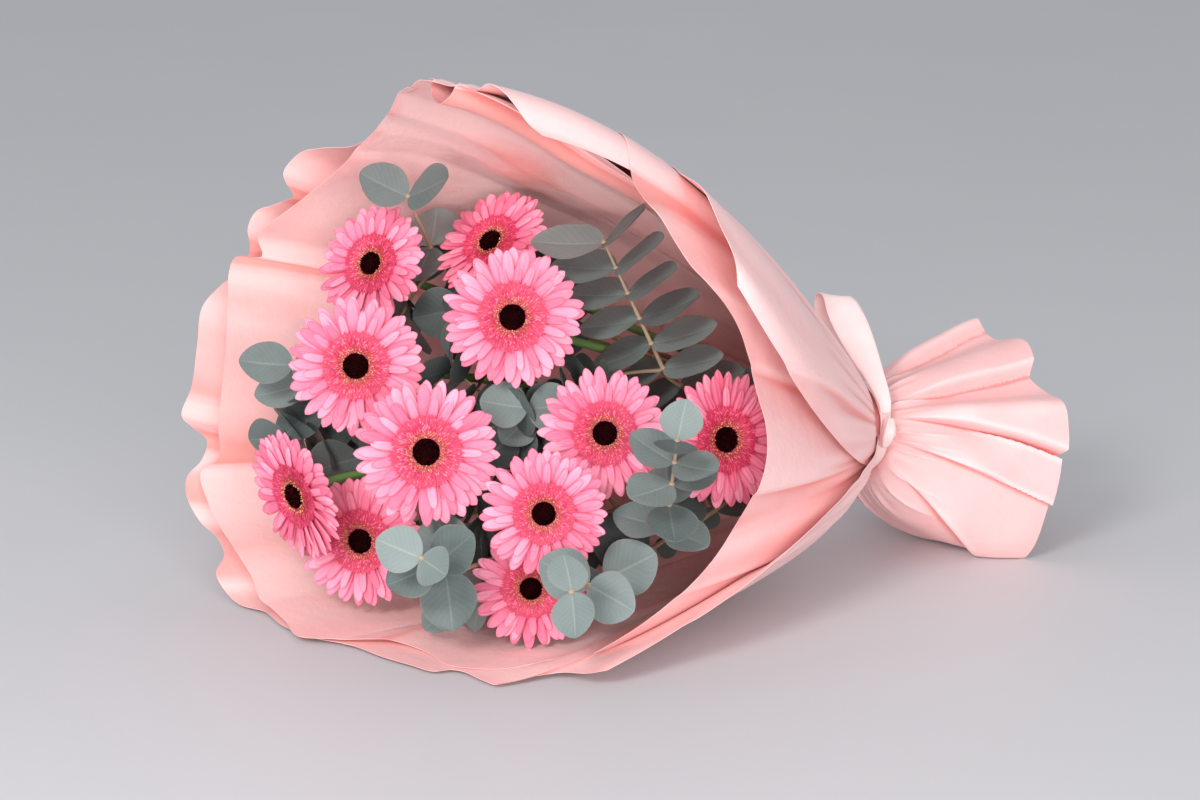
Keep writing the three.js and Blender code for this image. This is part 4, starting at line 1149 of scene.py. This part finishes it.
def panel_height(angle, s):
    """Height of the skirt's panels over its mean shape: each one rises to a rolled edge."""
    edges = [(math.radians(at) + math.radians(turn) * (1 - s), high, ends)
             for at, turn, high, ends in SKIRT_EDGES]
    total = np.zeros(angle.shape)
    for k, (edge, high, ends) in enumerate(edges):
        before = edges[k - 1][0]
        span = (edge - before) % (2 * math.pi)
        x = ((angle - before) % (2 * math.pi)) / span
        rise = smoothstep(x / 0.85) ** 0.8 * (1 - smoothstep((x - 0.91) / 0.09))
        fade = 1 - smoothstep((s - ends + 0.35) / 0.35)
        total = total + np.where(x <= 1, (rise - 0.55) * high * fade, 0)
    return total


def skirt_grid():
    """The gathered skirt below the ribbon: broad folds that grow out of fine gathers."""
    turn = HEM + [[HEM[0][0] + 360, HEM[0][1], HEM[0][2]]]
    hem = resampled(turn, SKIRT_COLUMNS)[:SKIRT_COLUMNS]
    angle, hem_reach, hem_radius = np.radians(hem[:, 0]), hem[:, 1], hem[:, 2]
    rows = []
    for share in np.linspace(0, 1, SKIRT_ROWS) ** 1.2:
        end = mix(SKIRT_TOP, hem_reach, share)
        s = np.clip((end - SKIRT_START) / (hem_reach - SKIRT_START), 0, 1)
        power = mix(0.75, 0.36, smoothstep((0.2 - np.cos(angle)) / 1.2))
        r = mix(WAIST["side"], hem_radius, s ** power)
        below = smoothstep((SKIRT_START - end) / 8)
        wander = 1.6 * np.sin(3 * angle + 1) + 0.9 * np.sin(7 * angle + 2)
        gather = 1 - np.abs(np.sin(8.5 * angle + wander + 1.2 * s)) ** 0.7
        r = r + 4.0 * (gather - 0.35) * below * (1 - smoothstep((s - 0.05) / 0.4))
        fine = np.sin(27 * angle - 2 * wander + 3 * s) * np.sin(5 * angle + 1)
        r = r + 0.8 * fine * below * (1 - smoothstep((s - 0.05) / 0.25))
        r = r + panel_height(angle, s) * smoothstep(s / 0.45) * mix(1, 0.8, s)
        r = r + 1.1 * np.sin(5 * angle + 4 * s) * np.sin(3 * math.pi * s) * s
        rows.append(place(angle, end, r))
    return floored(np.array(rows), 0.4)


# ---- ribbon and cord --------------------------------------------------------------------
RIBBON_THICK = 0.45
RIBBON_ACROSS = 13
LOOP_STEPS = 90
LOOP_CURL, LOOP_FOLD = 0.22, 0.9  # how far the loop's edges curl, and the depth of its bends
# The way the loop's width runs, from its foot over the top and back.
LOOP_WAYS = [
    [1, 0, 0.1], [1, -0.1, 0], [1, -0.1, -0.1], [1, 0, -0.2], [0.95, 0.1, -0.35],
    [0.9, 0.25, -0.4], [0.8, 0.5, -0.3], [0.8, 0.5, -0.1], [1, 0.1, 0.1],
]
BAND_SIDES, BAND_ACROSS = 200, 15
KNOT_TURN = math.radians(80)  # the knot's place on the band, toward the viewer
KNOT_STEPS, KNOT_SIDES = 40, 36
CORD_LAYERS, CORD_TURNS = 2, 5
CORD_PITCH = 2.75  # between the layers
CORD_STEPS = 72  # a turn
CORD_TWIST = 14  # turns of the two plies round each other, in one turn of the twine
PLY_RADIUS, PLY_OFFSET = 0.68, 0.62


def loop_path():
    """Middle and half width along the standing loop."""
    rows = [[*place(math.radians(deg), reach, r), half] for deg, reach, r, half in BOW]
    return spline(rows, LOOP_STEPS)


def loop_size():
    """Length and flat area of the standing loop."""
    path = loop_path()
    step = np.linalg.norm(np.diff(path[:, :3], axis=0), axis=1)
    width = path[1:, 3] + path[:-1, 3]
    return float(step.sum()), float((step * width).sum()) * MM * MM


def loop_body():
    """The standing loop: a satin strip, slightly curled across."""
    path = loop_path()
    centre, half = path[:, :3], path[:, 3:]
    tangent = unit(np.gradient(centre, axis=0))
    along = np.linspace(0, 1, LOOP_STEPS)
    given = np.linspace(0, 1, len(LOOP_WAYS))
    ways = np.stack([np.interp(along, given, column) for column in zip(*LOOP_WAYS)], axis=1)
    across = unit(ways - np.sum(tangent * ways, axis=1)[:, None] * tangent)
    normal = np.cross(tangent, across)
    along = along[:, None]
    q = np.linspace(-1, 1, RIBBON_ACROSS)
    bends = np.sin(3 * q + 5 * along) * np.sin(math.pi * along)
    lift = half * LOOP_CURL * (q ** 2 - 0.4) + LOOP_FOLD * bends
    top = centre[:, None] + q[None, :, None] * half[..., None] * across[:, None]
    top = top + lift[..., None] * normal[:, None]
    low = top - RIBBON_THICK * normal[:, None]
    body = Builder()
    body.rings(np.concatenate([top, low[:, ::-1]], axis=1), along=along,
               across=np.concatenate([q, q[::-1]]))
    return body


def add_band(body):
    """The ribbon round the neck, folded lengthwise and narrower at the knot."""
    angle = np.arange(BAND_SIDES) / BAND_SIDES * 2 * math.pi
    q = np.linspace(-1, 1, BAND_ACROSS)[:, None]
    near = np.exp(-((np.cos(angle - KNOT_TURN) - 1) / 0.12) ** 2)
    reach = (BAND_FROM + BAND_TO) / 2 + q * (BAND_TO - BAND_FROM) / 2 * (1 - 0.25 * near)
    fold = 0.42 * np.sin(7 * q + 1.5 * np.sin(2 * angle) + 0.6) + 0.25 * np.sin(
        13 * q - 2 * np.sin(3 * angle))
    r = BAND_RADIUS + 0.15 + fold * (1 - q ** 4)
    angle = np.broadcast_to(angle, r.shape)
    points = np.concatenate([place(angle, reach, r + 0.2),
                             place(angle, reach[::-1], r[::-1] - 0.3)])
    rows = 2 * BAND_ACROSS
    faces = grid_faces(rows, BAND_SIDES, True)
    last = (rows - 1) * BAND_SIDES
    for i in range(BAND_SIDES):
        n = (i + 1) % BAND_SIDES
        faces.append([last + i, last + n, n, i])
    body.add(points, faces, along=np.tile(angle / (2 * math.pi), (2, 1)),
             across=np.broadcast_to(np.concatenate([q, q[::-1]]), (rows, BAND_SIDES)))


def add_knot(body):
    """The knot: a short grooved roll across the band."""
    middle = place(KNOT_TURN, (BAND_FROM + BAND_TO) / 2, BAND_RADIUS + 3.2)
    out = unit(middle - place(0, (BAND_FROM + BAND_TO) / 2, 0))
    path = spline([middle - 11 * TOP_WAY - 1.2 * out, middle - 6 * TOP_WAY, middle + 1.6 * out,
                   middle + 6 * TOP_WAY, middle + 10 * TOP_WAY - out], KNOT_STEPS)
    t = np.linspace(0, 1, KNOT_STEPS)
    rings = sweep(path, 3.0 + 3.6 * np.sin(math.pi * t) ** 0.8, KNOT_SIDES, 0.8)
    turn = np.arange(KNOT_SIDES) / KNOT_SIDES * 2 * math.pi
    groove = 0.5 * np.sin(5 * turn[None] + 2.2 * np.sin(3 * t[:, None]) + 1)
    rings = rings + groove[..., None] * unit(rings - path[:, None])
    points = np.vstack([rings.reshape(-1, 3), path[0], path[-1]])
    body.add(points, pointed_faces(KNOT_STEPS, KNOT_SIDES), across=0.3,
             along=np.concatenate([np.repeat(t, KNOT_SIDES), [0, 1]]))


def cord_body():
    """Turns of two-ply twine that hold the sheets, under the ribbon."""
    body = Builder()
    a = np.linspace(0, 2 * math.pi * CORD_TURNS, CORD_STEPS * CORD_TURNS)
    for layer in range(CORD_LAYERS):
        r = (CORD_INNER + CORD_OUTER) / 2 + (layer - 0.5) * CORD_PITCH
        run = mix(CORD_FROM + 1.4, CORD_TO - 1.4, a / a[-1])
        if layer:
            run = CORD_FROM + CORD_TO - run
        for ply in (0, math.pi):
            twist = a * CORD_TWIST + ply
            path = place(a, run + PLY_OFFSET * np.sin(twist), r + PLY_OFFSET * np.cos(twist))
            body.tube(path, PLY_RADIUS, 7)
    return body


# ---- the looks --------------------------------------------------------------------------
def petal_material():
    s = Shader("petal pink", Roughness=0.5, Specular_IOR_Level=0.3, Subsurface_Weight=0.05,
               Subsurface_Radius=(1.0, 0.3, 0.45), Subsurface_Scale=0.002)
    along, across, tone = s.values("along", "across", "tone")
    base = s.ramp(along, (0.0, 0.80, 0.13, 0.30), (0.3, 0.90, 0.27, 0.42),
                  (0.6, 0.93, 0.38, 0.52), (1.0, 0.94, 0.44, 0.56))
    pale = s.ramp(along, (0.0, 0.87, 0.20, 0.37), (0.3, 0.96, 0.42, 0.55),
                  (0.6, 0.99, 0.60, 0.71), (1.0, 1.0, 0.68, 0.77))
    streak = s.math("SINE", s.math("MULTIPLY", across, 24.0))
    streak = s.math("MULTIPLY_ADD", streak, 0.5, 0.5)
    # Petal margins darkened as painted shade between the petals.
    edge_shade = s.rise(s.math("ABSOLUTE", across), 0.66, 1.0)
    mixed = s.tint(s.blend(tone, base, pale), streak, 0.2, (0.90, 0.30, 0.45))
    mixed = s.tint(mixed, edge_shade, 0.62, (0.82, 0.20, 0.38))
    mixed = s.tint(mixed, s.noise(70), 0.14, (1.0, 0.76, 0.84))
    s.bump(s.math("MULTIPLY_ADD", streak, 0.5, s.noise(900, 2)), 0.3, 0.0003)
    return s.finished(mixed)


def fringe_material():
    s = Shader("inner florets", Roughness=0.55)
    ring, depth, tone = s.values("ring", "depth", "tone")
    base = s.ramp(ring, (0.0, 0.43, 0.15, 0.11), (0.22, 0.62, 0.24, 0.20),
                  (0.36, 0.78, 0.18, 0.30), (1.0, 0.80, 0.15, 0.32))
    tip = s.ramp(ring, (0.0, 0.86, 0.49, 0.33), (0.24, 0.85, 0.39, 0.33),
                 (0.4, 0.91, 0.32, 0.44), (1.0, 0.92, 0.34, 0.49))
    dark, light = s.math("GREATER_THAN", tone, 0.68), s.math("LESS_THAN", tone, 0.28)
    mixed = s.tint(s.blend(depth, base, tip), dark, 0.6, (0.74, 0.08, 0.32))
    mixed = s.tint(mixed, light, 0.45, (0.99, 0.60, 0.72))
    s.bump(s.noise(1200, 2), 0.3, 0.0002)
    return s.finished(mixed)


def eye_materials():
    bud = Shader("eye buds", Roughness=0.8, Specular_IOR_Level=0.03)
    bud.bump(bud.noise(1500, 2), 0.4, 0.0002)
    dark = bud.ramp(*bud.values("tone"), (0.0, 0.06, 0.0, 0.0), (0.7, 0.13, 0.01, 0.02),
                    (1.0, 0.24, 0.04, 0.04))
    grain = Shader("pollen", Roughness=0.75)
    grain.bump(grain.noise(2500, 2), 0.5, 0.0002)
    pale = grain.ramp(*grain.values("tone"), (0.0, 0.62, 0.32, 0.24), (1.0, 0.96, 0.72, 0.54))
    return [bud.finished(dark), grain.finished(pale)]


def stem_material():
    s = Shader("stem green", Roughness=0.5)
    base = s.ramp(*s.values("up"), (0.0, 0.80, 0.86, 0.62), (0.02, 0.42, 0.56, 0.28),
                  (1.0, 0.46, 0.62, 0.34))
    s.bump(s.noise(1400), 0.35, 0.0003)
    return s.finished(s.tint(base, s.noise(300, stretch=(1, 1, 0.2)), 0.4, (0.34, 0.46, 0.22)))


def leaf_material():
    s = Shader("eucalyptus leaf", Roughness=0.52, Specular_IOR_Level=0.4)
    along, across, tone = s.values("along", "across", "tone")
    # Darker for a low tone: random from leaf to leaf, and painted shade on the deep leaves, whose
    # tone is lowered; the tone also scales the bloom, rib and veins.
    base = s.ramp(tone, (0.0, 0.18, 0.22, 0.21), (0.3, 0.32, 0.365, 0.355),
                  (0.6, 0.41, 0.455, 0.445), (1.0, 0.51, 0.55, 0.54))
    off = s.math("ABSOLUTE", across)
    haze = s.math("MULTIPLY_ADD", tone, 0.4, 0.08)
    rib = s.math("SUBTRACT", 1.0, s.rise(off, 0.0, 0.07))
    vein = s.math("SUBTRACT", along, s.math("MULTIPLY", off, 0.35))
    vein = s.math("SINE", s.math("MULTIPLY", vein, 58.0))
    thin = s.math("MULTIPLY", s.math("POWER", s.math("MULTIPLY_ADD", vein, 0.5, 0.5), 8.0), 0.16)
    mixed = s.tint(base, s.noise(55, 4, 0.6), haze, (0.60, 0.655, 0.655))
    mixed = s.tint(mixed, rib, s.math("MULTIPLY", tone, 0.5), (0.66, 0.71, 0.64))
    mixed = s.tint(mixed, thin, tone, (0.62, 0.68, 0.64))
    mixed = s.tint(mixed, s.rise(off, 0.9, 1.0), 0.4, (0.56, 0.50, 0.44))
    rough = s.math("MULTIPLY", s.noise(700), 0.5)
    s.bump(s.math("MULTIPLY_ADD", thin, 1.5, rough), 0.35, 0.0004)
    return s.finished(mixed)


def plain_material(name, rough, scale, low, high, grain, strength, distance):
    """Two colours that mix in a cloudy way, over a fine grain."""
    s = Shader(name, Roughness=rough)
    s.bump(s.noise(grain), strength, distance)
    return s.finished(s.blend(s.noise(scale), low, high))


def paper_material(name, light, middle, hollow_shade):
    s = Shader(name, Roughness=0.62, Specular_IOR_Level=0.25, Subsurface_Weight=0.1,
               Subsurface_Radius=(1.0, 0.5, 0.45), Subsurface_Scale=0.0015, Sheen_Weight=0.1)
    hollow = s.math("MULTIPLY_ADD", *s.values("hollow"), 0.5, 0.5)
    # Lighter on ridges and darker in hollows and folds: painted light and shade.
    base = s.ramp(hollow, (0.1, *light), (0.5, *middle), (0.95, *hollow_shade))
    fibre = s.noise(420, 4, 0.7, (1, 1, 2.5))
    mixed = s.tint(s.tint(base, s.noise(16, 4, 0.6), 0.22, light), fibre, 0.12, middle)
    creases = s.noise(38, 6, 0.62)
    height = s.math("MULTIPLY_ADD", creases, 3.0, s.math("MULTIPLY", fibre, 0.25))
    s.bump(height, 0.35, 0.0012)
    return s.finished(mixed)


def ribbon_material():
    s = Shader("satin ribbon", Roughness=0.32, Specular_IOR_Level=0.6, Sheen_Weight=0.35)
    across, along = s.values("across", "along")
    base = s.blend(s.noise(70), (1.0, 0.84, 0.83), (1.0, 0.92, 0.91))
    edge = s.rise(s.math("ABSOLUTE", across), 0.86, 0.97)
    weft = s.math("SINE", s.math("MULTIPLY", across, 190.0))
    warp = s.math("SINE", s.math("MULTIPLY", along, 1500.0))
    s.bump(s.math("MULTIPLY_ADD", weft, 0.4, s.math("MULTIPLY", warp, 0.3)), 0.2, 0.0002)
    return s.finished(s.tint(base, edge, 0.2, (0.95, 0.68, 0.68)))


# ---- assembly ---------------------------------------------------------------------------
def build_flowers():
    petal, fringe, stem = [petal_material()], [fringe_material()], [stem_material()]
    eyes = eye_materials()
    for k, flower in enumerate(FLOWERS):
        name = f"gerbera_{k + 1:02d}"
        at, face, R, _ = flower
        put = head_frame(at, face)
        seed = 17.0 * k + 3
        for body, piece, materials, slot, node in (
                (petals_of(R, put, seed), "ray_petals", petal, "ray_petal", "petals"),
                (fringe_of(R, put, seed + 1), "inner_florets", fringe, "inner_floret", "fringe"),
                (eye_of(R, put, seed + 2), "dark_eye", eyes, "flower_eye", "eye"),
                (stem_of(flower, put), "green_stem", stem, "flower_stem", "stem")):
            body.piece(f"{name}_{piece}", materials, slot, f"{name}_{node}")


def build_sprigs():
    twig = plain_material("eucalyptus twig", 0.6, 180, (0.60, 0.48, 0.40), (0.76, 0.66, 0.55),
                          900, 0.4, 0.0004)
    materials = [leaf_material(), twig]
    made = [sprig_of(sprig, k, DEEPER_PAIRS[k]) for k, sprig in enumerate(SPRIGS)]
    for i, tip in enumerate(shoot_tips()):
        aim = tip - AXIS * SHOOT_BACK
        gaps = [np.linalg.norm(lead - aim, axis=1).min() for _, lead in made]
        body, lead = made[int(np.argmin(gaps))]
        add_shoot(body, lead, tip, 1.7 * i + 0.4)
    for k, (body, _) in enumerate(made):
        name = f"eucalyptus_{k + 1:02d}"
        body.piece(f"{name}_leaves", materials, "eucalyptus_leaf", name)


def build_paper():
    materials = [paper_material("paper outside", (1.0, 0.82, 0.815), (0.98, 0.75, 0.745),
                                (0.94, 0.58, 0.56)),
                 paper_material("paper inside", (1.0, 0.80, 0.79), (0.99, 0.74, 0.73),
                                (0.95, 0.60, 0.57))]
    for name, grid in sheet_grids().items():
        thick_sheet(f"paper_{name}", grid, False, materials, f"wrap_sheet_{name}")
    thick_sheet("paper_skirt", skirt_grid(), True, materials, "wrap_skirt")


LOOP_LENGTH, LOOP_AREA = loop_size()


def build_ribbon():
    satin = ribbon_material()
    band = Builder()
    add_band(band)
    add_knot(band)
    band.piece("ribbon_round", [satin], "satin_ribbon", "ribbon_band")
    loop = loop_body().piece("ribbon_loop", [satin], "satin_ribbon", "ribbon_bow")
    twine = plain_material("twine", 0.8, 500, (0.70, 0.60, 0.46), (0.88, 0.80, 0.66),
                           1600, 0.6, 0.0004)
    cord_body().piece("twine_turns", [twine], "cord", "binding_cord")


# ---- floor, camera and lights -----------------------------------------------------------
FLOOR_HALF = 3.0  # metres
LENS, SENSOR = 90, 36
CAMERA_AT = (0, -2022.4, 708.2)  # millimetres, in the design frame
CAMERA_DOWN, CAMERA_TURN = 15.668, 0.03  # degrees
# Lights: place and the point they look at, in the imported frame's metres, size, power, colour.
LIGHTS = {
    "key": ((-1.0, -2.0, 1.6), (-0.05, 0, 0.12), (0.8, 0.8), 33, (1, 0.985, 0.975)),
    "fill": ((0.7, -2.4, 0.8), (0.1, 0, 0.15), (1.4, 0.8), 25, (1, 0.985, 0.98)),
    "lift": ((-0.8, -2.15, 0.3), (0, 0, 0.25), (1.4, 0.35), 16, (1, 0.98, 0.97)),
}


def build_floor():
    s = Shader("pale table", Roughness=0.55)
    look = s.finished(s.blend(s.noise(3), (0.80, 0.80, 0.812), (0.82, 0.82, 0.828)))
    mesh = bpy.data.meshes.new("floor")
    corners = [(x * FLOOR_HALF, y * FLOOR_HALF, 0) for x, y in ((-1, -1), (1, -1), (1, 1), (-1, 1))]
    mesh.from_pydata(corners, [], [(0, 1, 2, 3)])
    mesh.materials.append(look)
    floor = bpy.data.objects.new("floor", mesh)
    bpy.context.scene.collection.objects.link(floor)


def build_camera():
    data = bpy.data.cameras.new("camera")
    data.lens, data.sensor_width = LENS, SENSOR
    data.clip_start, data.clip_end = 0.05, 20
    camera = bpy.data.objects.new("camera", data)
    camera.location = (Vector(CAMERA_AT) + Vector(SHIFT)) * MM
    camera.rotation_euler = (math.radians(90 - CAMERA_DOWN), 0, math.radians(CAMERA_TURN))
    bpy.context.scene.collection.objects.link(camera)
    bpy.context.scene.camera = camera


def build_lights():
    scene = bpy.context.scene
    scene.world = bpy.data.worlds.new("studio")
    scene.world.use_nodes = True
    back = scene.world.node_tree.nodes["Background"]
    back.inputs["Color"].default_value = rgb(0.97, 0.98, 1.0)
    back.inputs["Strength"].default_value = 0.58
    for name, (at, toward, size, power, colour) in LIGHTS.items():
        data = bpy.data.lights.new(name, "AREA")
        data.shape = "RECTANGLE"
        data.size, data.size_y = size
        data.energy, data.color = power, colour
        light = bpy.data.objects.new(name, data)
        light.location = at
        way = Vector(toward) - Vector(at)
        light.rotation_euler = way.to_track_quat("-Z", "Y").to_euler()
        scene.collection.objects.link(light)
    scene.view_settings.view_transform = "Standard"


build_floor()
build_paper()
build_flowers()
build_sprigs()
build_ribbon()
build_camera()
build_lights()
